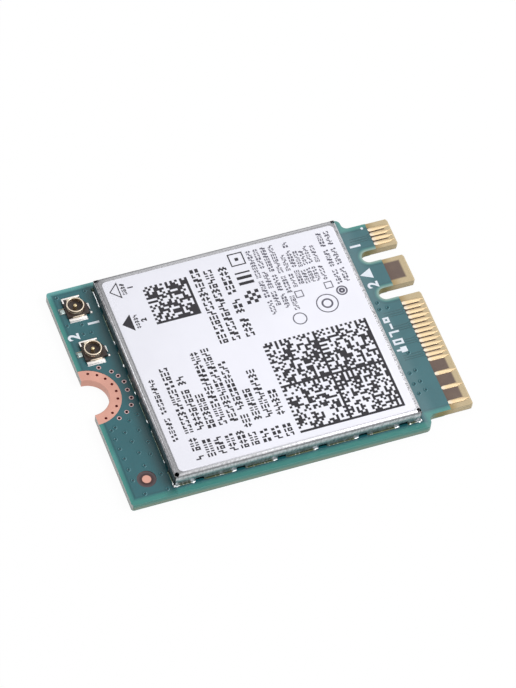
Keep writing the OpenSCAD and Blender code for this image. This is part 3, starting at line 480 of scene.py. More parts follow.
def laminate_finish(g, colours):
    """Glass-epoxy: faint weave on the faces, buried copper that shows through, greyer routed edges."""
    weave = g.wave(g.x, 0.36) * g.wave(g.y, 0.36) * 0.5 + 0.5
    cloud = g.noise(0.9, 4)
    face = g.blend(weave * 0.35 + cloud * 0.5, colours.laminate, toned(colours.laminate, 1.16))
    face = g.blend(g.x.drop(12.9, 13.9) * 0.75, face, srgb(148, 120, 68))
    patches = [rectangle(g, 12.0, 14.4, low, high).step(-0.1, 0.1) for low, high in BURIED_SPANS]
    # Painted shade: dark lines in the gaps between the fingers, over the buried copper
    slot = (TOP_FINGER_0 + FINGER_PITCH / 2 - g.y) % FINGER_PITCH
    between = slot.least(FINGER_PITCH - slot).drop(0.05, 0.09)
    between = between * (g.y - LAST_GAP_Y).step(0, 0.05) * abs(g.y - TAB_Y).step(1.2, 1.3)
    buried = g.blend(between, colours.buried, colours.finger_gap_shade)
    face = g.blend(reduce(Num.most, patches) * (cloud * 0.2 + 0.82), face, buried)
    dot = fiducial_distance(g)
    halo = g.blend(dot.step(0.42, 0.75), srgb(60, 34, 36), srgb(84, 72, 76))
    face = g.blend(dot.drop(0.78, 0.86), face, halo)
    facing_x, _, facing_z = g.facing()
    layers = g.wave(g.z, 0.19) * 0.5 + 0.5
    dust = g.noise(0.1, 4)
    rim = g.blend(g.z.step(0.12, 0.6), colours.laminate_side, colours.mask_edge)
    # Painted highlight: edges that face -X take the lighter end colour
    rim = g.blend((-facing_x).step(0.4, 0.8), rim, colours.lit_end_side)
    tongue = g.blend(g.x.step(12.2, 13.6), srgb(122, 116, 56), colours.tongue_side)
    rim = g.blend(g.x.step(SHOULDER_X + 0.2, SHOULDER_X + 1.0), rim, tongue)
    rim = g.blend(layers * 0.12 + dust * 0.3 + g.z.drop(0.05, 0.16) * 0.45, rim, (0.1, 0.08, 0.05))
    base = g.blend(abs(facing_z).step(0.3, 0.7), rim, face)
    normal = g.bump(dust + weave * 0.2, 0.012, 0.6)
    return g.surface(Base_Color=base, Roughness=dust * 0.15 + 0.42, Normal=normal)


def copper_finish(g, colours, key, hole_shade):
    """Bare copper, with painted shade down in the drill holes."""
    fine, colour = g.noise(0.05, 3), getattr(colours, key)
    base = g.blend(g.noise(1.2, 3).step(0.3, 0.75), colour, toned(colour, 0.9))
    from_wall = diagonal(g.x - BOARD_LOW.x, g.y) - SCREW_NOTCH_R
    depth = g.z.drop(BOARD_TOP - 0.12, BOARD_TOP - 0.03) * g.z.step(0.03, 0.12)
    base = g.blend(from_wall.drop(0.04, 0.06) * 0.22, base, (0.1, 0.05, 0.03))
    # Painted shade: the copper goes dark down inside the drill holes
    base = g.blend(depth * from_wall.step(0.1, 0.15), base, hole_shade)
    return g.grained(base, fine, 0.4, 0.1, 0.001, 0.7, 1.0)


def fiducial_finish(g, colours):
    """Bare copper dot, tarnished round its rim."""
    rim = fiducial_distance(g).step(0.34, 0.4)
    base = g.blend(rim, colours.copper, srgb(92, 68, 66))
    return g.grained(base, g.noise(0.05, 3), 0.4, 0.1, 0.001, 0.7, 1 - rim * 0.8)


def finger_finish(g, colours):
    """Gold plating with faint lengthwise wear and a painted highlight at the fingers' inner ends."""
    wear = g.noise(0.12, 3, 0.6, (8, 1, 1))
    base = g.blend(wear.step(0.35, 0.7) * 0.5, colours.gold, toned(colours.gold, 0.9))
    # Painted highlight: the fingers' inner ends are near white
    base = g.blend(g.x.drop(13.0, 13.5) * 0.7, base, srgb(255, 244, 232))
    return g.grained(base, wear, 0.24, 0.08, 0.001, 0.5, 1.0)


def can_finish(g, colours):
    """Tin-plated sheet: pitted flats over faint rolling lines, smoother folds, drawn walls; painted shade
    and reflection.
    """
    x0, y0, _ = CAN_LOW
    x1, y1, top = CAN_HIGH
    facing_x, facing_y, facing_z = g.facing()
    flat = facing_z.step(0.9, 0.99)
    rolled = g.noise(0.06, 3, 0.6, (1, 6, 1))
    drawn = g.noise(0.2, 4, 0.7, (1, 1, 2))
    pits = g.noise(0.09, 3, 0.7)
    near = g.y.drop(y0 + 0.5, y0 + 1)
    # Painted shade: the flats grow darker towards the left and far sides
    dull = g.x.drop(x0 + 0.5, x0 + 1.5).most(g.y.step(y1 - 1.5, y1) * 0.75)
    specks = g.x.band(x1 - 0.42, x1 - 0.32, x1 - 0.2, x1 - 0.12) * g.noise(0.13, 2).step(0.5, 0.56)
    # Painted reflection: a dark line along the near fold, on faces turned towards -Y just under the top
    fold_dark_reflection = g.z.band(top - 0.34, top - 0.24, top - 0.18, top - 0.08) * (-facing_y).step(0.3, 0.5)
    shade = (pits.step(0.5, 0.66) * (0.45 - near * 0.35) + dull * 0.6 + specks * 0.8) * flat
    shade = shade + g.noise(2.2, 3).step(0.35, 0.7) * 0.08 + fold_dark_reflection * 0.9
    # Painted shade: the wall that faces -X is darkened; the drawn walls' streaks darken all walls in places
    shade = shade + (-facing_x).step(0.75, 0.95) * 0.62 + drawn.step(0.42, 0.6) * (1 - flat) * 0.5
    base = g.blend(shade.least(1), colours.can, toned(colours.can, 0.36))
    # Painted shade: nearly black along the can's corners, where the walls part
    corner = reduce(Num.most, map(abs, can_offsets(g)))
    base = g.blend(corner.drop(0.04, 0.12) * 0.85, base, (0.01, 0.01, 0.01))
    normal = g.bump(g.z.drop(top - 0.95, top - 0.25), 0.085, 1.0)
    normal = g.bump(rolled * flat + drawn * (1 - flat), 0.002, 0.3, normal)
    normal = g.bump(pits * flat, 0.003, 0.35, normal)
    rough = pits * flat * 0.14 + (1 - flat) * 0.2 + 0.14
    return g.surface(Base_Color=base, Metallic=1.0, Roughness=rough, Normal=normal)


def land_finish(g, colours):
    """The can's tinned land, which the mask covers beyond the solder."""
    masked = reduce(Num.most, can_offsets(g)).step(0.01, 0.04)
    base = g.blend(masked, colours.solder, toned(colours.mask, 0.7))
    return g.grained(base, g.noise(0.06, 3), 0.28, 0.1, 0.003, 0.5, 1 - masked)


def joint_finish(g, colours):
    """Solder along the can's feet: browned by old flux, with painted glints at their ends, at the corners
    and in spots, and painted shade at the left wall.
    """
    along = (g.x - FIRST_GAP + FOOT_GAP / 2) % FOOT_PITCH
    # Painted glints: the solder stays clean and bright at foot ends, near the corners and in spots; flux
    # browns the rest
    bright = [along.step(FOOT_PITCH - 0.45, FOOT_PITCH - 0.25), g.y.band(8.15, 8.35, 9.9, 10.1)]
    bright += [abs(g.y - (gap + FOOT_GAP / 2 + 0.15)).drop(0.1, 0.25) for gap in END_GAPS]
    for x in (CAN_LOW.x, CAN_HIGH.x):
        bright.append(abs(g.x - x).most(abs(g.y - CAN_LOW.y)).drop(0.2, 0.6))
    flux = (1 - reduce(Num.most, bright)) * (1 - g.noise(0.2, 3).step(0.56, 0.66) * 0.6)
    base = g.blend(flux, colours.solder, srgb(92, 98, 72))
    # Painted shade: the solder along the left wall's feet is darker
    base = g.blend(g.x.drop(CAN_LOW.x, CAN_LOW.x + 0.2) * flux * 0.6, base, srgb(70, 84, 80))
    return g.grained(base, g.noise(0.15, 3), 0.2, 0.1, 0.003, 0.6, 1.0)


def pad_finish(g, colours):
    """The receptacles' tinned pads, which the mask covers beyond their far and right edges."""
    beyond = [(g.x - SOCKET_X).band(0.7, 0.74, 0.84, 0.86)]
    beyond += [abs(g.y - (middle + 1.35)).drop(0.14, 0.17) for middle in SOCKET_YS]
    masked = reduce(Num.most, beyond)
    base = g.blend(masked, colours.solder, colours.mask)
    return g.surface(Base_Color=base, Metallic=1 - masked, Roughness=g.noise(0.06, 3) * 0.16 + 0.22)


def label_finish(g, colours):
    """Smooth coated film with a faint unevenness."""
    base = g.blend(g.noise(5, 3).step(0.3, 0.75), colours.label, toned(colours.label, 0.965))
    return g.grained(base, g.noise(0.08, 2), 0.38, 0.1, 0.002, 0.4)


def colour_named(colours, colour):
    """A colour of the panel's by its name, or one given as screen values."""
    return getattr(colours, colour) if isinstance(colour, str) else srgb(*colour)


def metal_finish(g, colours, colour, roughness, grain, depth=0.004, darkest=0.86):
    """Plated metal with a fine grain and slow changes of tone."""
    colour = colour_named(colours, colour)
    base = g.blend(g.noise(1.6, 3).step(0.3, 0.75), colour, toned(colour, darkest))
    return g.grained(base, g.noise(grain, 3, 0.6), roughness - 0.08, 0.16, depth, 0.7, 1.0)


def plain_finish(g, colours, colour, roughness, grain=0.08, depth=0.004, darkest=0.82):
    """Moulded, fired or printed stuff: one colour with a fine mottle."""
    colour = colour_named(colours, colour)
    fine = g.noise(grain, 4)
    base = g.blend(fine.step(0.3, 0.7), colour, toned(colour, darkest))
    return g.grained(base, fine, roughness - 0.06, 0.12, depth, 0.6)


# What makes each finish, and the values that it takes
FINISHES = {
    "mask_top": (mask_finish, 13.0, TOP_PAIRS, True),
    "mask_under": (mask_finish, 12.5, UNDER_PAIRS, False),
    "crater": (crater_finish,),
    # Painted shade: the dark floor of each covered drill hole's crater
    "mask_pit": (plain_finish, (14, 58, 66), 0.3),
    "laminate": (laminate_finish,),
    # The last value of each copper finish is the colour of the painted shade in its drill holes
    "copper": (copper_finish, "copper", (0.42, 0.035, 0.045)),
    "drill_ring": (copper_finish, "drill_ring", (0.14, 0.012, 0.02)),
    "fiducial": (fiducial_finish,),
    "buried_copper": (metal_finish, "copper", 0.5, 0.05),
    "gold": (finger_finish,),
    "can_sheet": (can_finish,),
    "land": (land_finish,),
    "joint": (joint_finish,),
    "pads": (pad_finish,),
    "tin": (metal_finish, "solder", 0.3, 0.06),
    "solder": (metal_finish, "solder", 0.16, 0.15, 0.008),
    "bar_tin": (metal_finish, (255, 250, 246), 0.34, 0.15, 0.002, 0.94),
    "dull_solder": (metal_finish, (182, 196, 194), 0.34, 0.15),
    "socket_gold": (metal_finish, "socket_gold", 0.24, 0.05, 0.001),
    "pin_gold": (metal_finish, (232, 214, 172), 0.36, 0.05, 0.001),
    "socket_plastic": (plain_finish, "moulding", 0.34, 0.05),
    "label_film": (label_finish,),
    "ink": (plain_finish, "ink", 0.5, 0.06, 0.002),
    "fine_ink": (plain_finish, "fine_ink", 0.5, 0.06, 0.002),
    "legend": (plain_finish, "legend", 0.5, 0.06, 0.003, 0.94),
    "epoxy": (plain_finish, (38, 38, 41), 0.55, 0.05),
    "pale_ceramic": (plain_finish, (205, 200, 186), 0.5),
    "dark_ceramic": (plain_finish, (92, 84, 76), 0.5),
    "tan_ceramic": (plain_finish, (176, 134, 96), 0.4),
    "lid_metal": (metal_finish, (214, 208, 188), 0.28, 0.08),
    "ferrite": (plain_finish, (70, 70, 76), 0.5),
    "resistor_glaze": (plain_finish, (26, 26, 30), 0.3),
}


def finish_named(key):
    """The finish of that name, made on first use."""
    name = f"{key}_finish"
    found = bpy.data.materials.get(name)
    if found:
        return found
    make, *values = FINISHES[key]
    return make(Finish(name), bpy.context.scene.card_colours, *values)


# Modelling helpers


def size(key):
    """A length of the panel's, in millimetres."""
    return getattr(bpy.context.scene.card_sizes, key) / MM


def only(piece):
    """Selects and activates just this piece."""
    bpy.ops.object.select_all(action="DESELECT")
    piece.select_set(True)
    bpy.context.view_layer.objects.active = piece


def settle(name):
    """Names the active piece and puts its place, turn and scale into its mesh."""
    piece = bpy.context.view_layer.objects.active
    only(piece)
    bpy.ops.object.transform_apply(location=True, rotation=True, scale=True)
    piece.name = name
    return piece


@contextmanager
def editing(piece):
    """Edit mode on that piece, with its whole mesh selected."""
    only(piece)
    bpy.ops.object.mode_set(mode="EDIT")
    bpy.ops.mesh.select_all(action="SELECT")
    yield
    bpy.ops.object.mode_set(mode="OBJECT")


def pick_faces(piece, wanted):
    """In edit mode, selects just the faces that wanted(face) accepts."""
    bpy.ops.mesh.select_mode(type="FACE")
    bpy.ops.mesh.select_all(action="DESELECT")
    shape = bmesh.from_edit_mesh(piece.data)
    for face in shape.faces:
        face.select_set(wanted(face))
    bmesh.update_edit_mesh(piece.data)


def turn_outward():
    """In edit mode, points all faces outward."""
    bpy.ops.mesh.select_all(action="SELECT")
    bpy.ops.mesh.normals_make_consistent(inside=False)


def use(piece, kind, **settings):
    """Adds a modifier of that kind to the piece and applies it."""
    only(piece)
    made = piece.modifiers.new(kind.lower(), kind)
    for key, value in settings.items():
        setattr(made, key, value)
    bpy.ops.object.modifier_apply(modifier=made.name)
    return piece


def smooth_up_to(degrees):
    """Shades the active piece smooth over all edges but the sharper ones."""
    bpy.ops.object.shade_smooth_by_angle(angle=math.radians(degrees))


def rounded(piece, radius, segments=2, degrees=35):
    """Rounds the piece's sharp edges and shades it smooth between them."""
    limit = math.radians(degrees)
    use(piece, "BEVEL", width=radius * MM, segments=segments, limit_method="ANGLE", angle_limit=limit)
    smooth_up_to(degrees)
    return piece


def moved(piece, place, degrees=0):
    """Turns the piece's mesh about Z, then shifts it to the place."""
    shift = Matrix.Translation([c * MM for c in place])
    piece.data.transform(shift @ Matrix.Rotation(math.radians(degrees), 4, "Z"))
    return piece


def copied(form, name, place=(0, 0, 0)):
    """A copy with a mesh of its own, shifted to the place."""
    made = bpy.data.objects.new(name, form.data.copy())
    bpy.context.scene.collection.objects.link(made)
    return moved(made, place)


def joined(name, pieces):
    """Several pieces as one mesh."""
    only(pieces[0])
    for piece in pieces:
        piece.select_set(True)
    if len(pieces) > 1:
        bpy.ops.object.join()
    pieces[0].name = name
    return pieces[0]


def block(low, high):
    """A box between two corners."""
    low, high = (Vector([c * MM for c in corner]) for corner in (low, high))
    bpy.ops.object.select_all(action="DESELECT")
    bpy.ops.mesh.primitive_cube_add(size=1, location=(low + high) / 2, scale=high - low)
    return settle("block")


def lathe(profile, segments):
    """A closed turned form about the Z axis, from pairs of radius and height.

    A circle is drawn out ring by ring; each end is closed with a face."""
    radius, height = profile[0]
    bpy.ops.object.select_all(action="DESELECT")
    bpy.ops.mesh.primitive_circle_add(
        vertices=segments, radius=radius * MM, location=(0, 0, height * MM), fill_type="NGON"
    )
    piece = settle("turned")
    with editing(piece):
        for next_radius, next_height in profile[1:]:
            rise = (0, 0, (next_height - height) * MM)
            bpy.ops.mesh.extrude_region_move(TRANSFORM_OT_translate={"value": rise})
            ratio = next_radius / radius
            bpy.ops.transform.resize(value=(ratio, ratio, 1), center_override=(0, 0, next_height * MM))
            radius, height = next_radius, next_height
        turn_outward()
    return piece


def inked(piece):
    """A flat form raised to the thickness of ink."""
    return use(piece, "SOLIDIFY", thickness=size("ink") * MM, offset=1)


def cell_field(low, span, counts, keep, level=LABEL_TOP):
    """A print of cells: a grid at that level, without the cells that keep(i, j) refuses.

    The low corner, the span and the counts are pairs along X and Y, and so are i and j."""
    bpy.ops.object.select_all(action="DESELECT")
    middle = [(low[n] + span[n] / 2) * MM for n in (0, 1)]
    bpy.ops.mesh.primitive_grid_add(
        x_subdivisions=counts[0], y_subdivisions=counts[1], size=1, location=(*middle, level * MM)
    )
    bpy.context.view_layer.objects.active.scale = (span[0] * MM, span[1] * MM, 1)
    piece = settle("cells")

    def unwanted(face):
        spot = face.calc_center_median()
        i, j = (int((spot[n] / MM - low[n]) / span[n] * counts[n]) for n in (0, 1))
        return not keep(i, j)

    with editing(piece):
        pick_faces(piece, unwanted)
        bpy.ops.mesh.delete(type="FACE")
    return inked(piece)


def numeral(text, x, y, height, level, swell, half_depth):
    """A printed numeral about a place, its top towards -X."""
    bpy.ops.object.select_all(action="DESELECT")
    bpy.ops.object.text_add(rotation=(0, 0, math.radians(90)))
    made = bpy.context.view_layer.objects.active
    made.data.body = text
    made.data.align_x = made.data.align_y = "CENTER"
    made.data.size = height * MM / DIGIT_SHARE
    made.data.offset = swell * MM
    made.data.extrude = half_depth * MM
    made.location = (x * MM, y * MM, (level + half_depth) * MM)
    bpy.ops.object.convert(target="MESH")
    return settle("numeral")


def hand_over(piece, key, slot, *replaced):
    """Gives a modelled piece its finish and its body, and hides the CAD nodes that it stands for. The slot
    is not used.
    """
    piece.data.materials.clear()
    piece.data.materials.append(finish_named(key))
    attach(piece, BODY)
    if replaced:
        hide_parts(*replaced)


def refined(node, name, key, slot, edge, degrees=35):
    """Hands over a CAD node's own form as one clean mesh with softened edges."""
    piece = copied(cad[node], name)
    with editing(piece):
        bpy.ops.mesh.customdata_custom_splitnormals_clear()
        bpy.ops.mesh.remove_doubles(threshold=TIDY_GAP)
        bpy.ops.mesh.dissolve_limited(angle_limit=math.radians(1))
    hand_over(rounded(piece, size(edge), degrees=degrees), key, slot, node)
    return piece


def dress(key, *nodes):
    """Gives CAD nodes that keep their own form a finish."""
    for node in nodes:
        mesh = cad[node].data
        mesh.materials.clear()
        mesh.materials.append(finish_named(key))


# Board


class CARD_OT_board(bpy.types.Operator):
    """Finishes the laminate, the solder mask, the copper and the pads of the board"""

    bl_idname = "card.board"
    bl_label = "Board"

    def execute(self, context):
        dress("laminate", "board_core")
        dress("mask_top", "solder_mask_top")
        dress("mask_under", "solder_mask_bottom")
        dress("buried_copper", "copper_pour_top", "copper_pour_bottom", "inner_copper")
        dress("copper", "screw_land")
        dress("fiducial", "fiducials")
        dress("drill_ring", "notch_vias")
        dress("gold", "contact_fingers_bottom")
        dress("tin", "test_pads", "component_pads")
        dress("pads", "antenna_pads")
        dress("land", "shield_lands")
        dress("solder", "component_solder")
        refined("contact_fingers_top", "finger_plating", "gold", "gold", "plating_edge")
        return {"FINISHED"}


class CARD_OT_dimples(bpy.types.Operator):
    """Adds the small craters where the mask covers a drill hole"""

    bl_idname = "card.dimples"
    bl_label = "Covered drill holes"

    places = (
        (-14.28, 10.31), (-11.81, 10.31), (-14.34, 7.38), (-13.13, 7.13), (-13.34, 6.19), (-12.63, 6.16),
        (-14.25, -3.6), (-13.86, -3.4), (-13.25, -4.1), (-12.53, -3.1), (-11.7, -2.7), (-12.1, -4.2),
        (-14.2, -4.5), (-12.98, -5.1), (-14.17, -5.5), (-11.78, -5.5), (-12.8, -6.3), (-14.14, -6.5),
        (-11.94, -6.7), (-14.16, -7.6), (-12.8, -7.6), (-14.17, -8.7), (-11.78, -8.75), (-13.66, -10.2),
        (-11.78, -10.3), (11.05, 1.9), (11.0, 1.2), (11.7, 1.2), (11.7, -3.6), (11.05, -5.6),
        (11.6, -5.45), (11.0, -6.7), (11.6, -6.6), (11.05, -7.7), (11.7, -7.5),
    )
    # Sections as a share of the outer radius and a height over the mask
    lip = ((1, -0.004), (1, 0.0), (0.86, 0.02), (0.7, 0.026), (0.5, 0.012), (0.4, 0.002))
    # The floor is a dark disc of painted shade in the crater's hollow
    floor = ((0.46, 0.001), (0.4, 0.006), (0.1, 0.007))

    def execute(self, context):
        radius = size("dimple")
        crater = lathe([(radius * share, height) for share, height in self.lip], 16)
        bpy.ops.object.shade_smooth()
        pit = lathe([(radius * share, height) for share, height in self.floor], 12)
        for form, name, key in ((crater, "mask_dimples", "crater"), (pit, "mask_pits", "mask_pit")):
            made = [copied(form, name, (x, y, BOARD_TOP)) for x, y in self.places]
            bpy.data.objects.remove(form)
            hand_over(joined(name, made), key, "solder_mask")
        return {"FINISHED"}


class CARD_OT_legend(bpy.types.Operator):
    """Prints the white marks on the board: plain numerals, a dot, an arrow and plain shapes"""

    bl_idname = "card.legend"
    bl_label = "Board legend"

    # Numeral, the middle of its place and its height
    numerals = (
        ("1", -12.1, 7.02, 0.95), ("2", -14.14, 6.1, 0.95),
        ("1", 11.43, 7.95, 0.92), ("2", 11.43, 3.75, 0.92),
    )
    # How far their strokes swell, and half their thickness
    swell, half_depth = 0.04, 0.006
    # Corners, radius, share of it along Y, and middle of the dot and of the arrow
    discs = ((24, 0.12, 1, 12.58, 9.55), (3, 0.7, 0.87, 11.37, 4.95))
    # Plain shapes of five rows of three cells: their left end, their span and the near end of each
    shape_x, shape_span = 10.85, (0.9, 0.55)
    shapes = (
        (-0.25, "### #.# ### ... ..."), (-0.97, "... ... ### ... ..."), (-1.75, "### ..# ..# ..# ..#"),
        (-2.6, "### #.# #.# #.# ###"), (-3.45, ".#. .#. ### ### ###"),
    )

    def execute(self, context):
        ink = size("ink")
        made = [numeral(*row, BOARD_TOP, self.swell, self.half_depth) for row in self.numerals]
        for corners, radius, share, x, y in self.discs:
            bpy.ops.mesh.primitive_cylinder_add(
                vertices=corners, radius=radius * MM, depth=ink * MM, rotation=(0, 0, math.radians(90)),
                location=(x * MM, y * MM, (BOARD_TOP + ink / 2) * MM), scale=(share, 1, 1),
            )
            made.append(settle("disc"))
        for y, text in self.shapes:
            cells = text.split()
            low = (self.shape_x, y)
            made.append(cell_field(low, self.shape_span, (5, 3), lambda i, j: cells[i][j] == "#", BOARD_TOP))
        hand_over(joined("legend_marks", made), "legend", "white_ink", "board_legend")
        return {"FINISHED"}


# Shield can


class CARD_OT_can(bpy.types.Operator):
    """Refines the folded shield can: softened sheet edges, smooth folds and a rolled finish"""

    bl_idname = "card.can"
    bl_label = "Shield can"

    def execute(self, context):
        refined("shield_can", "can_shell", "can_sheet", "can_sheet", "sheet_edge", 40)
        return {"FINISHED"}


class CARD_OT_can_solder(bpy.types.Operator):
    """Lays uneven solder fillets along the can's feet and round its corners"""

    bl_idname = "card.can_solder"
    bl_label = "Can solder"

    seed = 11
    reach = 0.055
    near_reach = 0.09
    height = 0.09
    # Extra fullness near a foot's end: its share, its distance from the end and its width
    swell, swell_place, swell_width = 1.3, 0.12, 0.09
    # Over this length a fillet thins to this share at a foot's very end
    fade, least = 0.06, 0.25
    # Waves of the toe as radians a millimetre and a share of the unevenness, and that of the top
    toe_waves, top_wave = ((3.1, 0.5), (7.3, 0.3)), 4.3
    # Hollow of the face, and how far the head and the toe of a fillet pull in
    hollow, pull = 0.42, 0.55
    blob = ((0.15, 0.0), (0.14, 0.04), (0.1, 0.1), (0.05, 0.14), (0.02, 0.15))

    def feet(self, low, high, gaps):
        """The two ends of each foot along a wall."""
        ends = [low] + [g + s * FOOT_GAP / 2 for g in gaps for s in (-1, 1)] + [high]
        return zip(ends[::2], ends[1::2])

    def fillet(self, length, reach, rng):
        """One hollow-faced fillet along +X from the origin, against a wall at y = 0 on its far side."""
        bpy.ops.object.select_all(action="DESELECT")
        bpy.ops.mesh.primitive_cube_add(size=1)
        piece = settle("fillet")
        with editing(piece):
            bpy.ops.mesh.subdivide(number_cuts=9)
        lump = size("lump")
        phases = [rng.uniform(0, math.tau) for _ in range(4)]
        fullness = rng.uniform(0.75, 1.1)
        for point in piece.data.vertices:
            along, out, up = (c + 0.5 for c in point.co)
            end = min(along, 1 - along) * length
            bulge = 1 + self.swell * math.exp(-((end - self.swell_place) / self.swell_width) ** 2)
            full = bulge * min(1, max(end, 0) / self.fade + self.least) * fullness
            x = along * length
            wave = sum(math.sin(x * rate + p) * share for (rate, share), p in zip(self.toe_waves, phases))
            spread = (reach + lump * wave) * full
            high = (self.height + lump * math.sin(x * self.top_wave + phases[2])) * full
            inward = 1 - self.hollow * (out * up) ** 0.7
            y = -out * spread * inward * (1 - self.pull * up)
            z = up * high * inward * (1 - self.pull * out)
            point.co = Vector((x, y, z)) * MM
        with editing(piece):
            turn_outward()
        smooth_up_to(50)
        return piece

    def execute(self, context):
        rng = random.Random(self.seed)
        x0, y0, _ = CAN_LOW
        x1, y1, _ = CAN_HIGH
        walls = (
            (self.feet(x0, x1, SIDE_GAPS), 0, lambda a, b: (a, y0)),
            (self.feet(x0, x1, SIDE_GAPS), 180, lambda a, b: (b, y1)),
            (self.feet(y0, y1, END_GAPS), 90, lambda a, b: (x1, a)),
            (self.feet(y0, y1, END_GAPS), 270, lambda a, b: (x0, b)),
        )
        made = []
        for feet, turn, start in walls:
            for a, b in feet:
                piece = self.fillet(b - a, self.near_reach if turn == 0 else self.reach, rng)
                made.append(moved(piece, (*start(a, b), BOARD_TOP), turn))
        for x in (x0, x1):
            for y in (y0, y1):
                made.append(moved(lathe(self.blob, 20), (x, y, BOARD_TOP)))
                bpy.ops.object.shade_smooth()
        hand_over(joined("can_solder", made), "joint", "solder", "shield_solder")
        return {"FINISHED"}


# Label and print


class CARD_OT_label(bpy.types.Operator):
    """Softens the label's cut edge and gives it its film"""

    bl_idname = "card.label"
    bl_label = "Label"

    def execute(self, context):
        refined("label", "label_sheet", "label_film", "label_film", "label_edge", 40)
        return {"FINISHED"}


def filler_row(low, height, length, pitch, seed, gaps=()):
    """A row of filler marks whose tops point to -X, read from -Y to +Y; gaps lists empty places."""
    rng = random.Random(seed)
    count = max(1, round(length / pitch))
    marks = [None if n in gaps else rng.choice(FILLER).split() for n in range(count)]

    def keep(i, j):
        mark = marks[j // 4]
        return mark is not None and j % 4 < 3 and mark[i][j % 4] == "#"

    return cell_field(low, (height, length), (5, count * 4), keep)


class CARD_OT_label_rows(bpy.types.Operator):
    """Prints the rows of dark filler marks"""

    bl_idname = "card.label_rows"
    bl_label = "Label rows"

    # Left end, near end, mark height, row length, mark pitch, empty places
    rows = (
        (-10.2, -7.08, 0.46, 6.4, 0.4, (6,)),
        (-9.0, -9.33, 0.7, 9.45, 0.45, (1, 5)),
        (-7.98, -9.33, 0.68, 8.25, 0.45, (4, 5, 15)),
        (-7.05, -9.33, 0.67, 6.15, 0.45, (4, 5)),
        (-6.08, -9.33, 0.68, 10.2, 0.45, (4, 5)),
        (-5.12, -9.33, 0.66, 10.3, 0.45, (4, 5)),
        (-4.2, -9.33, 0.65, 8.65, 0.45, (3, 7)),
        (-3.2, -9.33, 0.65, 5.5, 0.45, (3, 4)),
        (-2.25, -9.33, 0.68, 7.2, 0.45, (3, 4)),
        (-1.25, -9.33, 0.68, 4.8, 0.45, (3, 4)),
        (-3.28, 0.9, 0.72, 7.95, 0.5, ()),
        (-2.2, 0.92, 0.7, 7.5, 0.5, ()),
        (-0.97, 0.92, 0.74, 7.45, 0.5, (4, 8)),
        (-9.28, 4.4, 0.36, 1.45, 0.3, ()),
        (-9.28, 7.98, 0.36, 1.2, 0.3, ()),
    )

    def execute(self, context):
        made = [
            filler_row((x, y), height, length, pitch, seed, gaps)
            for seed, (x, y, height, length, pitch, gaps) in enumerate(self.rows)
        ]
        hand_over(joined("label_rows", made), "ink", "black_ink", "label_print")
        return {"FINISHED"}


class CARD_OT_label_fine(bpy.types.Operator):
    """Prints the thin grey rows, boxes and rings at the far side of the label"""

    bl_idname = "card.label_fine"
    bl_label = "Label fine print"

    first_seed = 100
    # Middle across, near end, row length; a row longer than long_row has the taller marks
    rows = (
        (2.05, 2.42, 6.83), (2.67, 3.17, 6.08), (3.33, 2.75, 6.5), (4.0, 2.3, 6.95), (4.67, 4.5, 3.5),
        (5.27, 4.67, 4.5), (5.8, 4.58, 3.5), (6.28, 4.58, 3.4), (6.75, 4.58, 3.75), (7.33, 4.5, 3.75),
        (8.33, 3.75, 5.5), (9.0, 3.83, 5.42),
    )
    long_row, tall, low = 4, 0.42, 0.36
    pitch = 0.3
    gaps = (5, 12)
    boxes = ((4.67, 3.75), (7.33, 3.9))
    box_side = 0.7
    # Middle, radius and half the line's width
    rings = (
        (3.87, 1.38, 0.56, 0.05), (6.58, 2.17, 0.9, 0.05), (6.58, 2.17, 0.42, 0.08),
        (8.2, 3.05, 0.42, 0.07), (8.2, 3.05, 0.17, 0.1),
    )

    def execute(self, context):
        made = []
        for seed, (x, y, length) in enumerate(self.rows, self.first_seed):
            height = self.tall if length > self.long_row else self.low
            made.append(filler_row((x - height / 2, y), height, length, self.pitch, seed, self.gaps))
        side = self.box_side
        for x, y in self.boxes:
            corner = (x - side / 2, y - side / 2)
            made.append(cell_field(corner, (side, side), (9, 9), lambda i, j: i in (0, 8) or j in (0, 8)))
        for x, y, radius, width in self.rings:
            bpy.ops.mesh.primitive_torus_add(
                major_radius=radius * MM, minor_radius=width * MM, major_segments=40, minor_segments=6
            )
            ring = settle("ring")
            ring.data.transform(Matrix.Diagonal((1, 1, size("ink") / width, 1)))
            made.append(moved(ring, (x, y, LABEL_TOP)))
        hand_over(joined("label_fine_rows", made), "fine_ink", "black_ink")
        return {"FINISHED"}


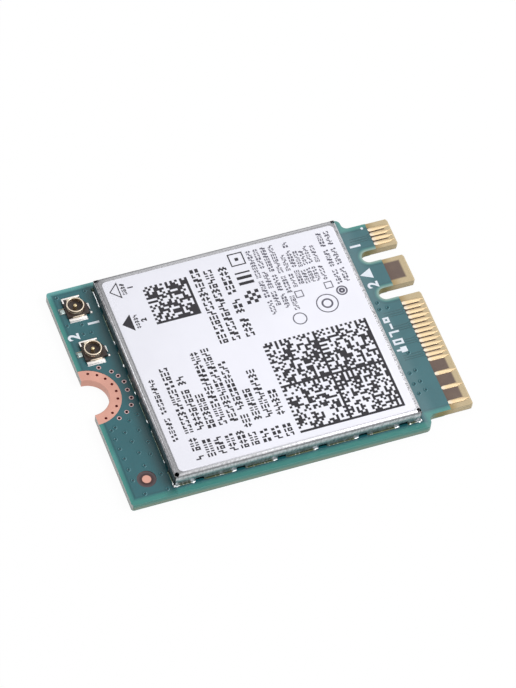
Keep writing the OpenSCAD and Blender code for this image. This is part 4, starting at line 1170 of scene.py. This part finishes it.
class CARD_OT_label_marks(bpy.types.Operator):
    """Prints an open and a solid arrow head, their numerals and three plain square marks"""

    bl_idname = "card.label_marks"
    bl_label = "Label marks"

    # Tip, length, width and, where it is open, the width of its line
    arrows = ((-10.33, 8.53, 0.88, 1.7, 0.085), (-10.35, 5.11, 0.88, 1.72, None))
    numerals = (("1", -8.47, 8.55, 0.44), ("2", -8.47, 5.1, 0.44))
    swell, half_depth = 0.03, 0.005
    # Near end, cells a side and which of them are printed
    squares = (
        (8.0, 13, lambda i, j: i in (0, 12) or j in (0, 12) or (4 < i < 8 and 4 < j < 8)),
        (6.0, 9, lambda i, j: j % 4 < 2),
        (4.0, 8, lambda i, j: (i // 2 + j // 2) % 2 == 0),
    )
    square_x, square_side = 0.25, 1.3

    def arrow(self, x, y, length, width, line):
        """An arrow head that points to -X."""
        bpy.ops.object.select_all(action="DESELECT")
        bpy.ops.mesh.primitive_circle_add(
            vertices=3, radius=1, fill_type="NGON", rotation=(0, 0, math.radians(90))
        )
        piece = settle("arrow")
        points = piece.data.vertices
        xs, ys = [p.co.x for p in points], [p.co.y for p in points]
        for p in points:
            p.co = (
                (x + (p.co.x - min(xs)) / (max(xs) - min(xs)) * length) * MM,
                (y + p.co.y / (max(ys) - min(ys)) * width) * MM,
                LABEL_TOP * MM,
            )
        if line:
            with editing(piece):
                bpy.ops.mesh.inset(thickness=line * MM)
                bpy.ops.mesh.delete(type="FACE")
        return inked(piece)

    def execute(self, context):
        made = [self.arrow(*row) for row in self.arrows]
        made += [numeral(*row, LABEL_TOP, self.swell, self.half_depth) for row in self.numerals]
        span = (self.square_side, self.square_side)
        for y, count, keep in self.squares:
            made.append(cell_field((self.square_x, y), span, (count, count), keep))
        hand_over(joined("label_marks", made), "ink", "black_ink")
        return {"FINISHED"}


class CARD_OT_label_codes(bpy.types.Operator):
    """Prints two square fields of random cells with solid and stepped borders"""

    bl_idname = "card.label_codes"
    bl_label = "Label cell fields"

    first_seed = 40
    dark_share = 0.48
    # Low corner, span along X and Y, cells a side, cells a region
    fields = (((-7.6, 4.31), (3.88, 3.88), 18, 18), ((-0.06, -9.36), (9.1, 9.2), 44, 22))

    def execute(self, context):
        made = []
        for seed, (low, span, count, region) in enumerate(self.fields, self.first_seed):
            rng = random.Random(seed)
            dark = {(i, j) for i in range(count) for j in range(count) if rng.random() < self.dark_share}

            def keep(i, j):
                u, v = i % region, j % region
                if u == region - 1 or v == 0:
                    return True
                if u == 0 or v == region - 1:
                    return (u + v) % 2 == 0
                return (i, j) in dark

            made.append(cell_field(low, span, (count, count), keep))
        hand_over(joined("label_cells", made), "ink", "black_ink")
        return {"FINISHED"}


# Antenna receptacles


class CARD_OT_receptacles(bpy.types.Operator):
    """Models the two antenna receptacles: base, ground ring with feet, centre pin and solder"""

    bl_idname = "card.receptacles"
    bl_label = "Antenna receptacles"

    seed = 5
    # Turned sections as radius and height over the board
    ring = (
        (0.75, 0.205), (0.75, 0.32), (0.722, 0.35), (0.722, 0.42), (0.75, 0.46), (0.75, 0.55),
        (0.745, 0.572), (0.73, 0.58), (0.665, 0.58), (0.647, 0.572), (0.64, 0.55), (0.64, 0.205),
    )
    pin = (
        (0.17, 0.05), (0.17, 0.4), (0.165, 0.45), (0.145, 0.495), (0.11, 0.525), (0.06, 0.538),
        (0.01, 0.54),
    )
    bead = ((0.14, 0.0), (0.14, 0.03), (0.12, 0.06), (0.07, 0.08), (0.02, 0.085))
    bead_place = (1.17, -0.75, 0)
    # Half widths of straps, feet and tail, how far a foot reaches, thickness of the sheet
    strap_half, foot_half, tail_half = 0.5, 0.78, 0.22
    foot_reach = 0.4
    strip = 0.1
    plate_top = 0.295
    # Slant of the solder streak, and how far the tail's pool goes past its end and side and up
    slant = 0.16
    pool_past, pool_side, pool_length, pool_height = 0.05, 0.12, 0.46, 0.17

    def ring_piece(self):
        """The ring as a closed wall: turned outside and inside, then joined at its foot."""
        piece = lathe(self.ring, 56)
        with editing(piece):
            pick_faces(piece, lambda face: len(face.verts) > 4)
            bpy.ops.mesh.delete(type="ONLY_FACE")
            bpy.ops.mesh.select_mode(type="EDGE")
            bpy.ops.mesh.select_non_manifold()
            bpy.ops.mesh.bridge_edge_loops()
            turn_outward()
        smooth_up_to(50)
        return piece

    def shell(self, half_base):
        """The ring, its straps through the plastic to legs and feet, and the plate at the far side."""
        half, strip, top = self.strap_half, self.strip, self.ring[0][1]
        outer = half_base + strip
        parts = [self.ring_piece()]
        for side in (-1, 1):
            toe = half_base + self.foot_reach * (0.75 - 0.1 * side)
            # Both ends along X, distances from the middle along Y and heights of strap, leg and foot
            sheets = (
                (-half, half, 0.7, outer, top - strip, top),
                (-half, half, half_base, outer, 0.02, top - 0.01),
                (-self.foot_half, 0.62, half_base, toe, 0, strip),
            )
            for x0, x1, near, far, z0, z1 in sheets:
                y0, y1 = sorted((side * near, side * far))
                parts.append(rounded(block((x0, y0, z0), (x1, y1, z1)), size("strap_edge")))
        plate = block((-half, 0.68, self.plate_top - 0.05), (half, half_base + 0.04, self.plate_top))
        return joined("shell", parts + [rounded(plate, 0.015)])

    def pillow(self, x0, y0, x1, y1, height, rng):
        """A low domed pool of solder."""
        piece = block((x0, y0, 0), (x1, y1, height))
        with editing(piece):
            bpy.ops.mesh.subdivide(number_cuts=7)
        phase = rng.uniform(0, math.tau)
        middle = Vector(((x0 + x1) / 2, (y0 + y1) / 2, 0)) * MM
        spread = Vector(((x1 - x0) / 2, (y1 - y0) / 2, height)) * MM
        for v in piece.data.vertices:
            u = (v.co.x - middle.x) / spread.x
            w = (v.co.y - middle.y) / spread.y
            sag = max(0, 1 - abs(u) ** 3) * max(0, 1 - abs(w) ** 3)
            v.co.z *= (0.3 + 0.7 * sag ** 0.5) * (1 + 0.1 * math.sin(u * 3.7 + phase))
        smooth_up_to(60)
        return piece

    def solder(self, half_base, side_x):
        """Tinned bars along the near and far sides, and a streak and a bead of solder at the right."""
        toe, plate = half_base + self.foot_reach, self.plate_top
        # Low corner, high corner and edge radius of the near, far and corner bars and of the streak
        bars = (
            ((-0.86, -toe + 0.03, 0), (0.68, -half_base - 0.09, 0.15), 0.04),
            ((-0.88, half_base + 0.02, 0), (0.68, half_base + 0.18, plate + 0.005), 0.03),
            ((-0.9, half_base - 0.34, plate - 0.06), (-0.77, half_base + 0.16, plate), 0.02),
            ((side_x + 0.02, -0.48, 0), (side_x + 0.12, 0.16, 0.17), 0.04),
        )
        parts = [rounded(block(low, high), edge, 3) for low, high, edge in bars]
        for v in parts[-1].data.vertices:
            v.co.x -= v.co.y * self.slant
        bead = moved(lathe(self.bead, 16), self.bead_place)
        bpy.ops.object.shade_smooth()
        return joined("solder", parts + [bead])

    def execute(self, context):
        rng = random.Random(self.seed)
        half = self.tail_half
        melts, pools = [], []
        for index in (1, 2):
            base_node, ring_node, pin_node = (f"antenna_{index}_{p}" for p in ("base", "ring", "pin"))
            low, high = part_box(base_node)
            ring_low, ring_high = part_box(ring_node)
            middle = Vector(((ring_low.x + ring_high.x) / 2, (ring_low.y + ring_high.y) / 2, low.z))
            place = [c / MM for c in middle]
            half_base = (high.y - low.y) / 2 / MM
            tail_x = (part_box(pin_node)[0].x - middle.x) / MM
            refined(base_node, f"{base_node}_moulding", "socket_plastic", "socket_plastic", "chip_edge")
            shell = moved(self.shell(half_base), place)
            shell.name = f"{ring_node}_shell"
            hand_over(shell, "socket_gold", "gold", ring_node)
            pin = lathe(self.pin, 28)
            smooth_up_to(50)
            tail = rounded(block((tail_x, -half, 0), (-0.1, half, self.strip)), size("strap_edge"))
            pin = moved(joined(f"{pin_node}_contact", [pin, tail]), place)
            hand_over(pin, "pin_gold", "gold", pin_node)
            melts.append(moved(self.solder(half_base, (high.x - middle.x) / MM), place))
            corner = (tail_x - self.pool_past, -half - self.pool_side)
            pool = self.pillow(*corner, tail_x + self.pool_length, half, self.pool_height, rng)
            pools.append(moved(pool, place))
        hand_over(joined("receptacle_solder", melts), "bar_tin", "solder", "antenna_solder")
        hand_over(joined("receptacle_tails", pools), "dull_solder", "solder")
        return {"FINISHED"}


# Parts under the can


class CARD_OT_inner_parts(bpy.types.Operator):
    """Softens and finishes the parts under the can"""

    bl_idname = "card.inner_parts"
    bl_label = "Parts under the can"

    moulded = {
        "radio_chip": "epoxy", "front_end_chips": "epoxy", "memory_chip": "epoxy",
        "regulator_chip": "epoxy", "band_filters": "pale_ceramic", "crystal_base": "dark_ceramic",
        "power_inductors": "ferrite",
    }

    def execute(self, context):
        slots = {s["node"]: s["material_slot"] for s in frame["record"]["subparts"]}
        for node, key in self.moulded.items():
            piece = refined(node, f"{node}_body", key, slots[node], "chip_edge")
            use(piece, "WELD", merge_threshold=TIDY_GAP)
        dress("tin", "radio_chip_leads", "inductor_ends", "capacitor_ends", "resistor_ends")
        dress("lid_metal", "crystal_lid")
        dress("tan_ceramic", "capacitors")
        dress("resistor_glaze", "resistors")
        return {"FINISHED"}


# Stage


def aim(made, place, across, back):
    """Puts a lamp or the camera at a place in metres, its X along across and its Z along back."""
    turn = Matrix((across, back.cross(across), back)).transposed()
    made.matrix_world = Matrix.Translation(place) @ turn.to_4x4()


class CARD_OT_stage(bpy.types.Operator):
    """Sets the floor, the even light, the lamps and the camera"""

    bl_idname = "card.stage"
    bl_label = "Stage"

    # Point that the camera looks at
    target = (0.1018, 0.9367, 0.8)
    # Half the floor's side, in metres, its gap under the card and how much of a shadow it keeps
    floor_half = 1.5
    floor_gap = 0.02
    shade = 0.06
    bright_side = (0.75, -0.65, 0.15)
    bright_horizon = (0.84, 0.5, 0.1)
    least_sky = 0.08
    dark_band = 0.3
    # Place, direction of the long side, length and width, all in metres
    lamps = {
        "key": ((0.375, -0.21, 0.525), (0, 1, 0), 0.33, 0.33),
        "top": ((0.15, 0.316, 0.486), (1, 0, 0), 0.42, 0.42),
        "edge": ((-0.26, 0.264, 0.325), (-0.78, 0, -0.63), 0.23, 0.2),
    }

    def paper(self):
        """White floor: shows white to the camera and to gloss, and keeps a trace of the shadow."""
        g = Finish("floor_paper")
        path = g.node("ShaderNodeLightPath")
        rays = [Num(g, path.outputs[f"Is {kind} Ray"]) for kind in ("Camera", "Glossy", "Transmission")]
        grain = g.bump(g.noise(3, 2), 0.002)
        matt = g.node("ShaderNodeBsdfDiffuse", {}, {"Color": (0.93, 0.93, 0.93), "Normal": grain})
        glow = g.node("ShaderNodeEmission", {}, {"Color": (1, 1, 1), "Strength": 1.0})
        shown = {0: reduce(Num.most, rays) * (1 - self.shade), 1: matt.outputs[0], 2: glow.outputs[0]}
        return g.done(g.node("ShaderNodeMixShader", {}, shown))

    def sky(self, stage):
        """White light from all round, stronger from the bright side and weak at the horizon."""
        world = bpy.data.worlds.new("even_light")
        bpy.context.scene.world = world
        world.use_nodes = True
        g = Graph(world.node_tree)
        where = g.node("ShaderNodeTexCoord").outputs["Generated"]
        level = g.dot(where, Vector(self.bright_side).normalized() * stage.slope) + stage.sky
        above = g.split(where)[2].step(0, self.dark_band, self.least_sky)
        beside = g.dot(where, Vector(self.bright_horizon).normalized()).step(0.6, 0.9)
        level = level.most(self.least_sky) * above.most(beside)
        seen = Num(g, g.node("ShaderNodeLightPath").outputs["Is Camera Ray"])
        back = g.tree.nodes["Background"]
        g.feed(back.inputs["Color"], (1, 1, 1))
        g.feed(back.inputs["Strength"], level.most(seen))

    def lamp(self, name, place, long_side, length, width, power):
        """A soft lamp that looks at the card, with its long side along the given direction."""
        back = Vector(place).normalized()
        across = Vector(long_side)
        across = (across - back * across.dot(back)).normalized()
        bpy.ops.object.light_add(type="AREA")
        made = bpy.context.view_layer.objects.active
        made.name = name
        aim(made, place, across, back)
        made.data.shape = "RECTANGLE"
        made.data.size = length
        made.data.size_y = width
        made.data.energy = power

    def camera(self, stage):
        azimuth, elevation, roll = stage.azimuth, stage.elevation, stage.roll
        flat = math.cos(elevation)
        back = Vector((math.sin(azimuth) * flat, -math.cos(azimuth) * flat, math.sin(elevation)))
        right = (-back).cross(Vector((0, 0, 1))).normalized()
        across = right * math.cos(roll) + right.cross(-back) * math.sin(roll)
        bpy.ops.object.camera_add()
        made = bpy.context.view_layer.objects.active
        made.name = "camera"
        aim(made, Vector(self.target) * MM + back * stage.distance, across, back)
        made.data.sensor_width = 36
        made.data.lens = stage.lens
        made.data.clip_start = 0.01
        bpy.context.scene.camera = made

    def execute(self, context):
        stage = context.scene.card_stage
        bpy.ops.object.select_all(action="DESELECT")
        level = cad_box[0].z - self.floor_gap * MM
        bpy.ops.mesh.primitive_plane_add(size=2 * self.floor_half, location=(0, 0, level))
        floor = settle("floor")
        floor.data.materials.append(self.paper())
        self.sky(stage)
        for key, values in self.lamps.items():
            self.lamp(f"{key}_lamp", *values, getattr(stage, key))
        self.camera(stage)
        context.scene.view_settings.view_transform = "Standard"
        return {"FINISHED"}


class CARD_PT_panel(bpy.types.Panel):
    """Lists the card's pieces in the 3D view's sidebar"""

    bl_label = "Wireless card"
    bl_idname = "CARD_PT_panel"
    bl_space_type = "VIEW_3D"
    bl_region_type = "UI"
    bl_category = "Card"

    def draw(self, context):
        for step in STEPS:
            self.layout.operator(step.bl_idname)
        for group in (context.scene.card_colours, context.scene.card_sizes, context.scene.card_stage):
            box = self.layout.box()
            for key in group.__annotations__:
                box.prop(group, key)


STEPS = (
    CARD_OT_board, CARD_OT_dimples, CARD_OT_legend, CARD_OT_can, CARD_OT_can_solder, CARD_OT_label,
    CARD_OT_label_rows, CARD_OT_label_fine, CARD_OT_label_marks, CARD_OT_label_codes,
    CARD_OT_receptacles, CARD_OT_inner_parts, CARD_OT_stage,
)
GROUPS = (CardColours, CardSizes, CardStage)


def register():
    for kind in (*GROUPS, *STEPS, CARD_PT_panel):
        bpy.utils.register_class(kind)
    bpy.types.Scene.card_colours = bpy.props.PointerProperty(type=CardColours)
    bpy.types.Scene.card_sizes = bpy.props.PointerProperty(type=CardSizes)
    bpy.types.Scene.card_stage = bpy.props.PointerProperty(type=CardStage)


def unregister():
    del bpy.types.Scene.card_stage
    del bpy.types.Scene.card_sizes
    del bpy.types.Scene.card_colours
    for kind in reversed((*GROUPS, *STEPS, CARD_PT_panel)):
        bpy.utils.unregister_class(kind)


def main():
    register()
    bpy.ops.object.select_all(action="DESELECT")
    for step in STEPS:
        family, name = step.bl_idname.split(".")
        getattr(getattr(bpy.ops, family), name)()


if __name__ == "__main__":
    main()
